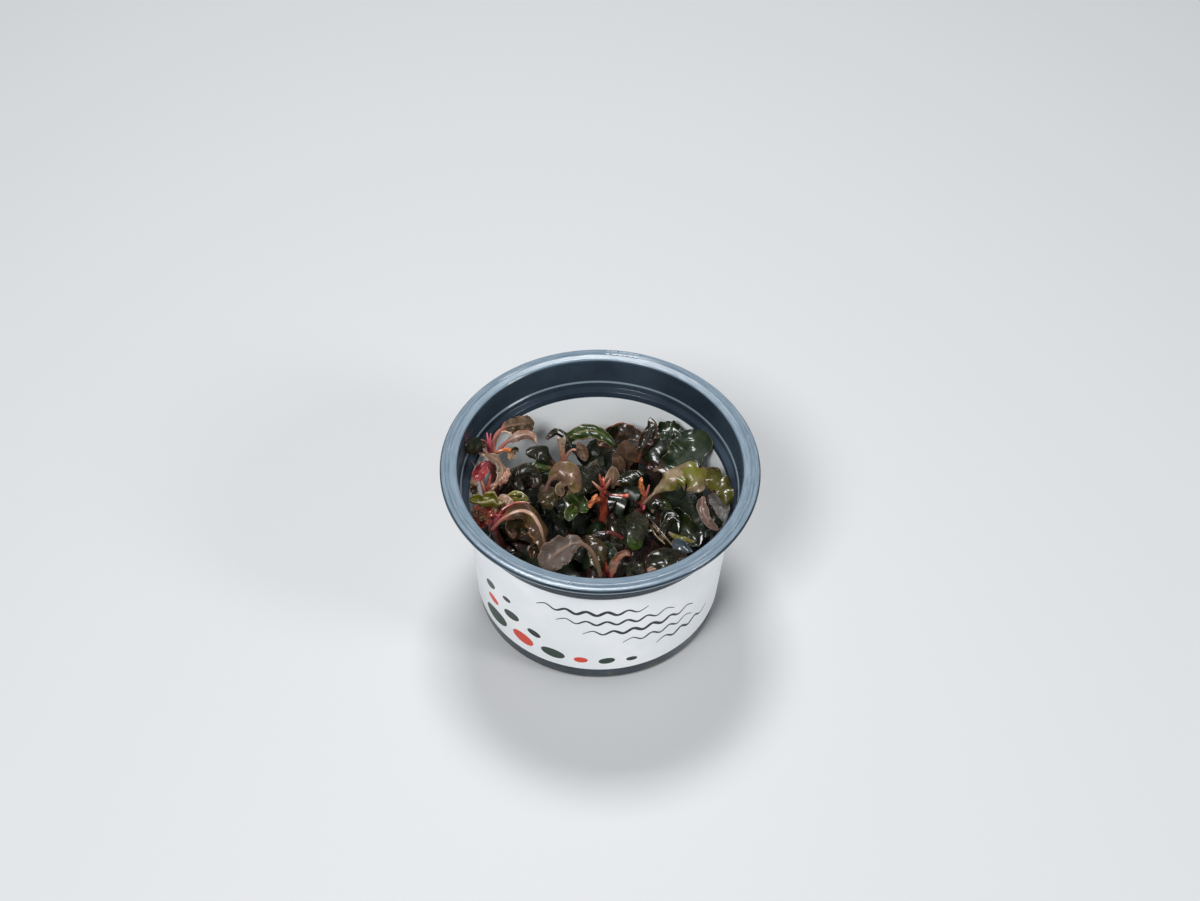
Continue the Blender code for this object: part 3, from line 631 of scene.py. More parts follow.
def pebble(x, y, length, thickness, lean):
    """A filled oval of a length and a thickness in mm, leaning by some degrees."""
    reach = Vector((math.cos(math.radians(lean)), math.sin(math.radians(lean)))) * length * 0.5
    ends = [(x - reach.x, y - reach.y), (x + reach.x, y + reach.y)]
    shares = [2.0 * k / PEBBLE_STEPS - 1.0 for k in range(PEBBLE_STEPS + 1)]
    widths = [thickness * math.sqrt(max(1.0 - share ** 2, 0.0)) + 0.02 for share in shares]
    return ink_strip(ends, widths, 36)


green_pebbles = [(-36.0, 12.5, 11.0, 6.4, 8.0), (-13.5, 11.4, 8.0, 4.4, -6.0), (-28.0, 20.6, 6.4, 4.0, 14.0),
                 (3.4, 10.8, 5.2, 3.0, 12.0), (-37.0, 27.4, 5.0, 3.4, 30.0)]
red_pebbles = [(-24.0, 12.2, 8.0, 5.2, -12.0), (-36.4, 20.6, 5.2, 3.2, -8.0), (-4.6, 10.8, 4.4, 2.8, 4.0)]
black_pebbles = [(-19.6, 18.2, 4.8, 2.9, -18.0), (11.2, 10.4, 3.6, 2.0, -6.0), (-29.4, 27.6, 3.4, 2.2, 10.0)]
print_piece("print_pebbles_green", [pebble(*place) for place in green_pebbles], green_ink)
print_piece("print_pebbles_red", [pebble(*place) for place in red_pebbles], red_ink)
print_piece("print_pebbles_black", [pebble(*place) for place in black_pebbles], black_ink)

# %% Waves
WAVE_LENGTH = 6.0
WAVE_LIFT = 0.9


def wave(start, end, level, weight):
    """A wave line between two places along the label, at a height, tapering at its ends."""
    count = int((end - start) * 2.0 / WAVE_LENGTH)
    path = []
    for k in range(count + 1):
        path.append((start + 0.5 * WAVE_LENGTH * k, level + (WAVE_LIFT if k % 2 else -WAVE_LIFT)))
    return ink_strip(path, (0.25, weight, weight, 0.25), 120)


wave_lines = [(-18.0, 16.0, 36.5, 1.2), (-12.0, 25.0, 31.4, 0.9), (-4.0, 34.0, 26.3, 1.2),
              (8.0, 32.0, 21.2, 0.7), (19.0, 40.0, 16.1, 1.0)]
print_piece("print_waves", [wave(*line) for line in wave_lines], black_ink)

# %% [markdown]
# ## One way to make every leaf
#
# A bucephalandra leaf is a leathery blade on a thick stalk. Its margin is waved, its midrib is a groove on
# the upper face and a ridge below, and most of the older blades arch over or roll. Forty-seven of them
# can be told apart in the photograph, and each one bends in its own way, so a leaf is made from a flat
# grid that is wrapped into a closed skin: the grid's width goes once round the leaf's section, over the
# seen face and back along the hidden one, and its length follows the midrib. Points on the midrib are
# given in millimetres, and a face direction says which way the seen face looks.

# %% Directions and sections
SEEN = (0.0, -0.66, 0.75)
UP = (0.0, -0.3, 1.0)
FRONT = (0.0, -0.8, 0.6)
RIGHT = (0.8, -0.5, 0.6)
STALK_WIDTH = 1.3
LEAF_THICKNESS = 0.34
CRUMPLE = 0.5
PUCKER = 0.2
CRUMPLE_SCALE = 0.33
RIB_HALF_WIDTH = 0.16
RIDGE_HEIGHT = 0.26
GROOVE_DEPTH = 0.1
STALK_DEPTH = 0.38
TIP_ROUNDING = 18.0
MARGIN_POWER = 2.4
PUCKER_SCALE = 2.9
MM_PER_WAVE = 8.0
HALF_SECTION = (-1.0, -0.96, -0.86, -0.7, -0.5, -0.3, -0.13, 0.0, 0.13, 0.3, 0.5, 0.7, 0.86, 0.96, 1.0)


def section_ring(across_list):
    """(across, side) pairs once round a section: side 1 is the seen face, -1 the hidden one."""
    over = [(across, 1.0) for across in across_list]
    back_again = [(across, -1.0) for across in reversed(across_list[1:-1])]
    return over + back_again + [over[0]]


def ease_between(low, high, value):
    """0 below low, 1 above high, and a smooth rise between them."""
    share = min(max((value - low) / (high - low), 0.0), 1.0)
    return share * share * (3.0 - 2.0 * share)


def blade_half(s, width, widest, blunt):
    """Half width of a blade at a share s of its length; a lower blunt gives a squarer end."""
    s = min(max(s, 0.0), 1.0)
    bias = math.log(0.5) / math.log(widest)
    return 0.5 * width * max(math.sin(math.pi * s ** bias), 0.0) ** blunt


def margin_wave(s, across, waves, phase):
    """-1 to 1: how far the margin stands up at a share s of the blade, different on its two sides."""
    turn = math.tau * waves * s + phase + (0.0 if across > 0.0 else 2.3)
    return 0.8 * math.sin(turn) + 0.2 * math.sin(2.3 * turn + phase)


def outline_lobes(s, across, waves, phase):
    """A factor near 1 that makes the outline swell and draw in along the blade."""
    turn = math.tau * waves * s * 0.85 + 1.7 * phase + (0.0 if across > 0.0 else 1.4)
    return 1.0 + 0.08 * math.sin(turn) + 0.04 * math.sin(2.6 * turn + 2.0 * phase)


def press_on_wall(place):
    """Flatten what would reach through the cup's wall against its inner side (a place in mm)."""
    flat = math.hypot(place.x, place.y)
    limit = (wall_radius(place.z) if place.z < LEDGE_TOP else COLLAR_RADIUS) - WALL - 0.25
    if flat > limit:
        squeeze = (limit + 0.08 * (flat - limit)) / flat
        place.x *= squeeze
        place.y *= squeeze
    return place


# %% Make a leaf


def store(piece, places):
    """Write where each point lies on its leaf: mm along, mm across, hidden face, share and across."""
    on_leaf = piece.data.attributes.new("on_leaf", "FLOAT_VECTOR", "POINT")
    share = piece.data.attributes.new("share", "FLOAT_VECTOR", "POINT")
    for index, (along, across, hidden, s, a) in enumerate(places):
        on_leaf.data[index].vector = (along, across, hidden)
        share.data[index].vector = (s, a, hidden)


def leaf(name, looks, points, width, face=SEEN, tip_face=None, stalk=0.0, cup=0.0, widest=0.45,
         waves=None, ruffle=0.3, phase=0.0, notches=(), twist=0.0, blunt=0.55, stalk_width=STALK_WIDTH,
         thickness=LEAF_THICKNESS, steps=54, sections=HALF_SECTION):
    """A leaf bent along its midrib, as one closed skin.

    points run along the midrib in mm. face and tip_face are where the seen side looks at the two ends,
    and twist turns it further, in degrees. stalk is the share of the length that is stalk. cup rolls
    the edges towards the seen side, or away from it. waves and ruffle give the number and the height of
    the margin's waves. Each notch is (place, side, depth, length), a bite out of the margin.
    """
    ring = section_ring(sections)
    let_go()
    bpy.ops.mesh.primitive_grid_add(x_subdivisions=steps, y_subdivisions=len(ring) - 1, size=1.0)
    made = bpy.context.object
    line = smooth_line(points, steps)
    start_face = Vector(face).normalized()
    end_face = Vector(tip_face or face).normalized()
    length = sum((b - a).length for a, b in zip(line, line[1:]))
    waves = waves or length * (1.0 - stalk) / MM_PER_WAVE
    roll = 2.0 * cup
    places = []
    for vert in made.data.vertices:
        k = round((vert.co.x + 0.5) * steps)
        across, side_of = ring[round((vert.co.y + 0.5) * (len(ring) - 1))]
        t = k / steps
        s = (t - stalk) / (1.0 - stalk)
        along = (line[min(k + 1, steps)] - line[max(k - 1, 0)]).normalized()
        side = along.cross(start_face.lerp(end_face, ease_between(0.0, 1.0, t))).normalized()
        side.rotate(Matrix.Rotation(math.radians(twist) * max(s, 0.0), 3, along))
        normal = side.cross(along)
        is_blade = ease_between(-0.04, 0.16, s)
        half = max(blade_half(s, width, widest, blunt), 0.2) * outline_lobes(s, across, waves, phase)
        for place, notch_side, depth, reach in notches:
            if across * notch_side > 0.0:
                half *= 1.0 - depth * math.exp(-((s - place) / reach) ** 2)
        half = stalk_width * 0.5 * (1.0 - is_blade) + half * is_blade
        half *= min(ease_between(-0.3, 0.05, t), math.sqrt(max(1.0 - t, 0.0) * TIP_ROUNDING), 1.0)
        bend = roll * across
        out = half * math.sin(bend) / roll if abs(roll) > 0.02 else half * across
        lift = half * (1.0 - math.cos(bend)) / roll if abs(roll) > 0.02 else 0.0
        at_margin = abs(across) ** MARGIN_POWER * is_blade
        lift += ruffle * min(half, 3.4) * margin_wave(s, across, waves, phase) * at_margin
        place = line[k] * CRUMPLE_SCALE + Vector((out * CRUMPLE_SCALE, phase, 0.0))
        lift += CRUMPLE * noise.noise(place) * is_blade * min(half, 3.0) * 0.4
        lift += PUCKER * noise.noise(place * PUCKER_SCALE) * is_blade * min(half, 2.0) * 0.5
        rib = math.exp(-(across / RIB_HALF_WIDTH) ** 2) * (1.0 - 0.75 * max(s, 0.0)) * is_blade
        round_section = math.sqrt(max(1.0 - across * across, 0.0))
        flat = thickness * 0.5 * round_section ** 0.5
        stem_like = stalk_width * STALK_DEPTH * round_section
        thick = flat * is_blade + stem_like * (1.0 - is_blade)
        is_ridge = (side_of > 0.0) == (looks in SHOWS_UNDERSIDE)
        thick += (RIDGE_HEIGHT if is_ridge else -GROOVE_DEPTH) * rib
        if t in (0.0, 1.0):
            out, lift, thick = 0.0, 0.0, 0.0
        elif abs(across) == 1.0:
            thick = 0.0
        else:
            thick = max(thick, 0.02)
        vert.co = press_on_wall(line[k] - side * out + normal * (lift + side_of * thick)) * MM
        hidden = 0.5 if abs(across) == 1.0 else (0.0 if side_of > 0.0 else 1.0)
        places.append((s * length * (1.0 - stalk), across * max(half, 0.3), hidden, s, across))
    store(made, places)
    bpy.ops.object.mode_set(mode="EDIT")
    bpy.ops.mesh.select_all(action="SELECT")
    bpy.ops.mesh.remove_doubles(threshold=0.000004)
    bpy.ops.mesh.normals_make_consistent(inside=False)
    bpy.ops.object.mode_set(mode="OBJECT")
    bpy.ops.object.shade_smooth()
    made.name = name
    made.data.materials.append(leaf_looks(looks))
    return made


# %% [markdown]
# ## Leaf finishes
#
# A wet, leathery leaf has a coloured face, a paler or redder back, a light midrib and margin, fine
# side veins, streaks beside them and patches that are fading. All of that follows the leaf and not the
# room, so every leaf carries two small records at each point: how far along and across it lies, and which
# face it is on. One function writes the nodes once, and each kind of leaf only states its colours. A film
# of water over the skin is a second, smoother coat, and small dents break its reflections up into glints.

# %% Leaf finish writer
SHOWS_UNDERSIDE = {"beige", "palebrown", "pink", "lilac", "greybrown", "pinkbrown", "brown", "red",
                   "banded", "scrap_red", "scrap_tan", "front_curl"}
LEAF_SHADE = 0.6
LEAF_COLOURS = {}
made_looks = {}


def leaf_looks(looks):
    if looks not in made_looks:
        made_looks[looks] = leaf_finish(looks, **LEAF_COLOURS[looks])
    return made_looks[looks]


def darker(colour, share):
    return tuple(share * value for value in colour)


def leaf_finish(name, face, patch, back, stalk, edge, rib, gloss=0.2, coat=0.5, patchy=0.5, spots=0.3,
                rib_width=0.14, veins=0.05, edge_width=0.1, tip=None):
    """Colours: the seen face, its patches, the hidden face, the stalk, the margin, the rib and the tip."""
    made = Finish(name + " leaf", coat_weight=coat, coat_roughness=0.17, ior=1.4, specular_ior_level=0.25)
    along, across, hidden = made.record("on_leaf").outputs
    share = made.record("share")
    s = share.outputs[0]
    a = made.math("ABSOLUTE", share.outputs[1])
    place = made.place()
    broad = made.noise(190.0, 2.0, place)
    fine = made.noise(950.0, 4.0, place)
    faded = made.ramp(broad, 0.62 - 0.25 * patchy, 0.72 - 0.2 * patchy)
    skin = made.mix(faded, face, patch)
    under = made.mix(made.ramp(fine, 0.4, 0.7), back, darker(back, 0.7))
    body = made.mix(hidden, skin, under)
    cloud = made.ramp(made.noise(420.0, 3.0, place), 0.3, 0.75)
    body = made.mix(made.both(cloud, 0.5), body, darker(face, 0.45))
    slant = made.math("SUBTRACT", along, made.both(made.math("ABSOLUTE", across), 0.9))
    wobble = made.both(broad, 2.0)
    vein = made.math("SINE", made.both(made.math("ADD", slant, wobble), 4.6))
    vein = made.both(made.ramp(vein, 0.6, 1.0), made.ramp(a, 0.1, 0.3), made.ramp(fine, 0.35, 0.6))
    body = made.mix(made.both(vein, veins), body, rib)
    streak_place = made.node("CombineXYZ", in0=made.both(slant, 3.4), in1=made.both(across, 0.5),
                             in2=made.both(broad, 6.0))
    streaks = made.node("TexNoise", in0=streak_place.outputs[0], scale=1.0, detail=3.0).outputs["Fac"]
    body = made.mix(made.ramp(streaks, 0.5, 0.75, 0.0, 0.45), body, darker(face, 0.5))
    speck = made.ramp(made.noise(2100.0, 2.0, place), 0.62, 0.75, 0.0, spots)
    body = made.mix(speck, body, darker(face, 0.35))
    on_rib = made.both(made.ramp(a, rib_width, 0.55 * rib_width), made.ramp(s, 1.0, 0.4, 0.0, 0.85))
    body = made.mix(on_rib, body, rib)
    uneven = made.ramp(fine, 0.3, 0.6, 0.3, 1.0)
    on_edge = made.both(made.ramp(a, 1.0 - edge_width, 1.0 - 0.4 * edge_width), uneven)
    body = made.mix(on_edge, body, edge)
    if tip:
        body = made.mix(made.both(made.ramp(s, 0.72, 1.0), uneven), body, tip)
    body = made.mix(made.ramp(s, 0.2, -0.02), body, made.mix(fine, stalk, darker(stalk, 0.7)))
    made.wire("Base Color", body)
    satin = made.ramp(fine, 0.3, 0.7, gloss + 0.05, gloss + 0.2)
    made.wire("Roughness", made.mix_value(hidden, satin, 0.4))
    dents = made.both(made.noise(520.0, 3.0, place), 1.4)
    grain = made.math("ADD", made.both(vein, -3.0 * veins), made.both(fine, 0.5))
    grain = made.math("ADD", grain, made.both(streaks, 1.1))
    made.bump(made.math("ADD", dents, grain), 0.6, 0.00018)
    return made.material


def colours(face, patch, back, stalk, edge, rib, **more):
    """One kind of leaf from six screen colours and its few numbers."""
    names = ("face", "patch", "back", "stalk", "edge", "rib")
    six = (face, patch, back, stalk, edge, rib)
    kind = {name: darker(seen(*colour), LEAF_SHADE) for name, colour in zip(names, six)}
    if "tip" in more:
        more["tip"] = darker(seen(*more["tip"]), LEAF_SHADE)
    return {**kind, **more}


# %% Leaf colours: undersides and stalks
LEAF_COLOURS.update({
    "beige": colours((158, 128, 104), (124, 94, 72), (66, 62, 32), (190, 146, 128), (206, 178, 156),
                     (186, 152, 130), gloss=0.3, coat=0.25, edge_width=0.25),
    "brown": colours((106, 84, 64), (84, 66, 44), (66, 62, 28), (186, 116, 102), (140, 104, 74),
                     (140, 114, 96), gloss=0.36, coat=0.2, veins=0.14, patchy=0.8),
    "greybrown": colours((110, 96, 88), (92, 78, 70), (48, 52, 36), (132, 106, 86), (140, 112, 96),
                         (150, 124, 108), gloss=0.38, coat=0.15, spots=0.15, veins=0.16),
    "lilac": colours((116, 112, 108), (98, 92, 88), (52, 50, 34), (140, 108, 98), (104, 78, 66),
                     (132, 124, 118), gloss=0.36, coat=0.15, veins=0.1, edge_width=0.16),
    "palebrown": colours((120, 94, 76), (98, 80, 64), (48, 52, 28), (124, 94, 80), (126, 100, 80),
                         (136, 106, 88), gloss=0.34, coat=0.18, veins=0.2),
    "pink": colours((184, 156, 142), (160, 118, 98), (90, 76, 40), (196, 112, 100), (186, 122, 84),
                    (206, 182, 168), gloss=0.26, coat=0.35, spots=0.15, edge_width=0.3),
    "pinkbrown": colours((128, 102, 94), (108, 82, 74), (56, 46, 30), (156, 118, 106), (160, 130, 114),
                         (156, 128, 116), gloss=0.32, coat=0.3, edge_width=0.18),
    "red": colours((172, 62, 66), (124, 40, 46), (104, 40, 42), (196, 96, 92), (206, 120, 110),
                   (188, 92, 90), gloss=0.3, coat=0.4, spots=0.3, patchy=0.8),
    "banded": colours((80, 56, 36), (82, 72, 26), (96, 78, 40), (214, 130, 112), (160, 110, 66),
                      (228, 184, 160), rib_width=0.2, gloss=0.24, coat=0.5, edge_width=0.14),
    "scrap_red": colours((140, 38, 34), (172, 70, 46), (110, 36, 30), (150, 60, 44), (196, 110, 84),
                         (170, 90, 66), gloss=0.2, coat=0.7, patchy=0.8),
    "scrap_tan": colours((176, 140, 108), (140, 90, 54), (120, 84, 56), (170, 120, 90), (206, 176, 150),
                         (186, 150, 122), gloss=0.24, coat=0.5, patchy=0.8),
    "front_curl": colours((180, 140, 122), (146, 80, 44), (120, 78, 50), (188, 96, 84), (196, 156, 136),
                          (172, 112, 84), gloss=0.26, coat=0.5, tip=(150, 82, 40), patchy=0.6,
                          edge_width=0.3),
})

# %% Leaf colours: upper faces
LEAF_COLOURS.update({
    "dark": colours((28, 34, 18), (44, 40, 20), (60, 44, 30), (120, 80, 62), (78, 70, 48), (44, 46, 28),
                    gloss=0.24, coat=0.55),
    "darkbrown": colours((46, 34, 19), (30, 30, 15), (66, 42, 28), (120, 66, 44), (142, 80, 50),
                         (70, 48, 30), gloss=0.24, coat=0.5, edge_width=0.18),
    "ring": colours((44, 38, 20), (32, 38, 16), (52, 38, 26), (66, 44, 32), (92, 66, 50), (40, 42, 20),
                    gloss=0.3, coat=0.25, edge_width=0.34),
    "strap": colours((34, 40, 22), (62, 58, 44), (52, 38, 26), (90, 62, 50), (96, 92, 56), (50, 52, 30),
                     gloss=0.2, coat=0.7, edge_width=0.06, tip=(76, 108, 26)),
    "gloss": colours((22, 34, 15), (40, 46, 19), (52, 38, 26), (90, 56, 48), (84, 80, 52), (38, 48, 24),
                     gloss=0.2, coat=0.75, edge_width=0.06),
    "green": colours((52, 72, 22), (38, 54, 18), (86, 78, 42), (120, 90, 64), (150, 136, 98), (84, 94, 38),
                     gloss=0.22, coat=0.5, edge_width=0.12),
    "arching": colours((48, 70, 22), (34, 50, 17), (92, 84, 50), (168, 134, 108), (172, 150, 120),
                       (120, 116, 70), gloss=0.22, coat=0.5, edge_width=0.3),
    "greygreen": colours((40, 40, 26), (50, 36, 25), (80, 56, 44), (106, 74, 58), (84, 74, 54), (60, 58, 38),
                         gloss=0.18, coat=0.7),
    "maroon": colours((46, 24, 20), (34, 25, 16), (54, 32, 26), (110, 50, 46), (72, 46, 36), (60, 34, 28),
                      gloss=0.2, coat=0.6),
    "ochre": colours((112, 98, 34), (132, 98, 84), (112, 84, 62), (150, 108, 100), (158, 126, 98),
                     (150, 120, 98), gloss=0.26, coat=0.4, patchy=0.9, tip=(160, 128, 102), veins=0.12,
                     edge_width=0.14),
    "olive": colours((90, 86, 22), (60, 50, 18), (98, 76, 50), (136, 98, 76), (118, 94, 60), (80, 72, 32),
                     gloss=0.15, coat=0.8),
    "hanging": colours((56, 44, 18), (40, 32, 14), (80, 60, 34), (120, 76, 48), (156, 90, 50), (66, 52, 26),
                       gloss=0.26, coat=0.4, tip=(112, 66, 36), edge_width=0.12),
    "olivebeige": colours((116, 114, 30), (168, 142, 114), (132, 104, 80), (150, 120, 100),
                          (160, 136, 104), (136, 122, 84), gloss=0.26, coat=0.45, tip=(160, 136, 112),
                          patchy=0.75, veins=0.1),
    "olivebrown": colours((74, 62, 34), (64, 42, 26), (108, 82, 62), (124, 90, 72), (136, 108, 82),
                          (84, 68, 42), gloss=0.18, coat=0.7),
    "olivedark": colours((32, 34, 15), (46, 42, 10), (72, 54, 36), (116, 88, 66), (136, 116, 84),
                         (46, 44, 22), gloss=0.13, coat=0.8, edge_width=0.08),
    "orange": colours((172, 130, 92), (132, 48, 34), (110, 56, 40), (170, 76, 56), (204, 160, 130),
                      (180, 124, 92), gloss=0.24, coat=0.5, patchy=0.8),
    # slate: a dark leaf whose blue-grey face colour is a painted reflection of the light on its wet skin.
    "slate": colours((72, 84, 94), (48, 58, 62), (56, 48, 40), (100, 80, 70), (104, 108, 102), (84, 92, 92),
                     gloss=0.14, coat=0.8),
    "teal": colours((36, 50, 34), (54, 66, 40), (56, 46, 32), (116, 92, 72), (112, 104, 78), (62, 74, 54),
                    gloss=0.22, coat=0.7, veins=0.1, edge_width=0.06),
    "yellow": colours((116, 112, 18), (90, 86, 10), (116, 112, 30), (160, 112, 86), (226, 210, 160),
                      (124, 112, 36), gloss=0.2, coat=0.5, edge_width=0.2),
    # The low kinds are near black: partly the leaves' own dark green and brown, partly painted shade from
    # the leaves above them.
    "low_dark": colours((20, 27, 12), (14, 18, 9), (32, 25, 15), (60, 34, 28), (62, 56, 34), (28, 34, 18),
                        gloss=0.42, coat=0.16, edge_width=0.1),
    "low_green": colours((26, 42, 14), (38, 46, 16), (40, 32, 18), (66, 40, 32), (74, 70, 40), (40, 52, 22),
                        gloss=0.42, coat=0.2, edge_width=0.1),
    "low_brown": colours((48, 33, 19), (32, 25, 14), (54, 34, 24), (88, 44, 36), (96, 68, 44), (58, 44, 28),
                        gloss=0.44, coat=0.14, edge_width=0.1),
})
print("kinds of leaf", len(LEAF_COLOURS))

# %% [markdown]
# ## The leaves that can be told apart
#
# Each call below repeats the midrib points of one solid leaf, so the fine leaf lies exactly where
# the solid is. Only one leaf at the back left differs: it has rolled up into a ring, and its solid is a
# plain bowl of that size. The groups follow the little plants in the cup: left, back, middle, right and
# front. Most leaves start near a crown, rise, arch over and end a little lower, under their own weight.

# %% Grow a leaf in place of its solid
leaf_lines = []


def grow(node, slot, points, width, looks=None, **shape):
    """Make a leaf in place of its solid. Its finish is named for its slot, unless looks names another."""
    blade = leaf(node + "_blade", looks or slot, points, width, phase=1.7 * len(leaf_lines), **shape)
    settle(blade, node + "_blade", slot, node)
    leaf_lines.append((smooth_line(points, 12), width))


def curl(middle, radius, start, end, count):
    """Midrib points round a curl that is seen end on; middle and radius in mm, angles in degrees."""
    points = []
    for number in range(count):
        turn = math.radians(start + (end - start) * number / (count - 1))
        rise = radius * math.sin(turn)
        points.append((middle[0] + radius * math.cos(turn), middle[1] + 0.75 * rise,
                      middle[2] + 0.66 * rise))
    return points


# %% Left group
grow("leaf_left_1", "brown", [(-32.5, 15.0, 47.0), (-32.0, 16.5, 50.0), (-29.5, 19.5, 50.5),
     (-25.0, 22.5, 49.0), (-20.5, 25.0, 47.0)], 5.6, tip_face=UP, stalk=0.35, cup=-0.2, widest=0.6,
     waves=3.0, ruffle=0.42, notches=[(0.8, -1, 0.5, 0.07), (0.45, 1, 0.3, 0.06)], twist=32, blunt=0.36)
grow("leaf_left_2", "pink", [(-31.0, 14.5, 46.0), (-28.5, 16.0, 48.0), (-25.5, 16.5, 50.0),
     (-22.5, 18.0, 49.5), (-20.5, 17.5, 48.5), (-19.5, 16.0, 47.0)], 3.6, stalk=0.2, cup=-0.5, waves=2.5)
grow("leaf_left_3", "dark", [(-34.5, 12.0, 50.5), (-36.5, 10.5, 52.5), (-39.0, 8.5, 54.0),
     (-40.5, 7.5, 55.5)], 6.8, stalk=0.1, cup=-0.6)
grow("leaf_left_4", "beige", [(-33.5, 3.0, 42.0), (-31.0, 3.5, 43.5), (-29.5, 6.5, 46.0),
     (-32.0, 9.0, 48.5), (-37.0, 10.0, 49.5)], 3.2, face=(1.0, -0.3, 0.6), tip_face=UP, stalk=0.1,
     cup=-0.35, waves=3.0, ruffle=0.35)
grow("leaf_left_5", "red", [(-37.5, 1.5, 46.5), (-35.5, 3.5, 49.0), (-33.5, 6.0, 50.5)], 5.2, cup=0.6,
     waves=2.0, ruffle=0.35)
grow("leaf_left_6", "yellow", [(-28.5, -4.0, 43.0), (-31.5, -6.0, 44.5), (-35.0, -7.5, 46.0),
     (-39.0, -7.0, 47.5)], 8.6, face=(0.0, 0.2, 1.0), cup=0.95, waves=1.6, blunt=0.42)
grow("leaf_left_7", "beige", [(-30.5, -2.5, 43.0), (-29.0, -2.5, 42.5), (-27.5, -4.5, 42.0),
     (-29.0, -6.0, 40.5)], 4.6, cup=-0.4, waves=1.5, ruffle=0.36, blunt=0.4)
grow("leaf_left_8", "orange", [(-33.5, -8.0, 39.0), (-35.5, -7.0, 42.0), (-37.5, -6.5, 43.0)], 4.2,
     cup=0.5, waves=1.9, ruffle=0.43)
grow("leaf_left_9", "olivebrown", [(-32.5, -10.5, 38.0), (-28.5, -9.0, 42.0), (-23.5, -8.0, 44.5),
     (-19.5, -10.5, 45.0), (-17.0, -14.5, 43.5), (-16.0, -18.5, 41.5), (-17.0, -20.5, 40.0)], 7.6,
     looks="banded", face=(0.0, -0.4, 0.9), tip_face=RIGHT, stalk=0.16, cup=-0.55, widest=0.6, waves=3.0,
     blunt=0.4, stalk_width=1.5)
grow("leaf_left_10", "olive", [(-19.5, -4.5, 36.0), (-23.0, -7.5, 38.0), (-25.5, -10.0, 38.5),
     (-25.5, -13.0, 37.0)], 7.6, looks="hanging", cup=-0.2, waves=2.0, ruffle=0.5,
     notches=[(0.75, 1, 0.5, 0.12)], blunt=0.8)
grow("leaf_left_11", "brown", [(-16.0, -10.5, 35.0), (-18.5, -15.5, 36.0), (-20.0, -18.5, 35.0)], 6.0,
     looks="hanging", cup=0.3, waves=1.8, ruffle=0.5, notches=[(0.6, -1, 0.5, 0.08),
     (0.8, 1, 0.4, 0.06)], blunt=0.7)
grow("leaf_left_12", "olive", [(-27.5, -1.0, 39.5), (-24.5, -2.0, 41.0), (-21.0, -1.0, 40.5)], 5.6,
     cup=0.5, ruffle=0.29)
print("leaves so far", len(leaf_lines))

# %% Back group
grow("leaf_back_1", "dark", [(-13.0, 19.5, 33.0), (-16.0, 18.5, 38.0), (-19.5, 19.0, 40.5),
     (-23.0, 17.5, 41.0)], 6.8, face=UP, stalk=0.15, cup=-0.4, ruffle=0.18, blunt=0.45)
grow("leaf_back_2", "darkbrown", curl((-22.6, 10.8, 36.5), 3.1, 305.0, 625.0, 11), 4.2, looks="ring",
     cup=-0.3, waves=3.0, ruffle=0.1, blunt=0.3)
grow("leaf_back_3", "gloss", [(-18.0, 11.0, 33.0), (-16.5, 6.5, 35.0), (-16.0, 3.0, 35.0),
     (-17.0, 2.0, 33.0)], 7.0, looks="olivebrown", cup=-0.3, ruffle=0.22, blunt=0.45)
grow("leaf_back_4", "green", [(-11.0, 22.0, 36.0), (-11.0, 24.0, 39.5), (-7.5, 25.5, 42.0),
     (-3.0, 26.0, 43.0), (1.5, 24.5, 42.0), (4.5, 22.5, 39.0)], 5.4, looks="arching", tip_face=UP,
     stalk=0.12, cup=-0.45, waves=3.5, ruffle=0.26)
grow("leaf_back_5", "palebrown", [(9.0, 20.0, 31.0), (8.0, 20.0, 36.0), (8.0, 20.5, 40.5),
     (7.5, 21.5, 44.0)], 7.4, stalk=0.12, cup=0.3, widest=0.55, waves=1.5, ruffle=0.14, blunt=0.5)
grow("leaf_back_6", "palebrown", [(6.5, 17.5, 33.5), (5.5, 17.5, 38.0), (4.0, 18.5, 41.5)], 4.0,
     stalk=0.1, cup=0.3, ruffle=0.15)
grow("leaf_back_7", "dark", [(11.5, 17.5, 38.0), (12.5, 19.5, 42.0), (14.5, 22.5, 45.0),
     (15.5, 25.5, 46.5), (15.0, 28.5, 47.0)], 4.6, looks="darkbrown", stalk=0.1, cup=-0.3, widest=0.5,
     waves=2.5, ruffle=0.45, blunt=0.65)
grow("leaf_back_8", "dark", [(17.0, 26.0, 40.5), (19.5, 27.0, 42.0), (22.0, 27.0, 42.5),
     (25.5, 26.0, 42.5)], 6.4, looks="teal", face=UP, tip_face=SEEN, cup=0.3, waves=3.0, ruffle=0.5,
     blunt=0.4)
grow("leaf_back_9", "darkbrown", [(-1.0, 27.5, 34.0), (3.5, 29.0, 37.0), (8.5, 28.5, 39.0),
     (13.5, 26.0, 40.0)], 6.8, tip_face=UP, cup=0.2, ruffle=0.29)
grow("leaf_back_10", "palebrown", [(-4.5, 19.5, 36.0), (-6.0, 21.5, 39.0), (-7.0, 23.0, 41.0)], 4.0,
     cup=0.5, ruffle=0.25)
print("leaves so far", len(leaf_lines))

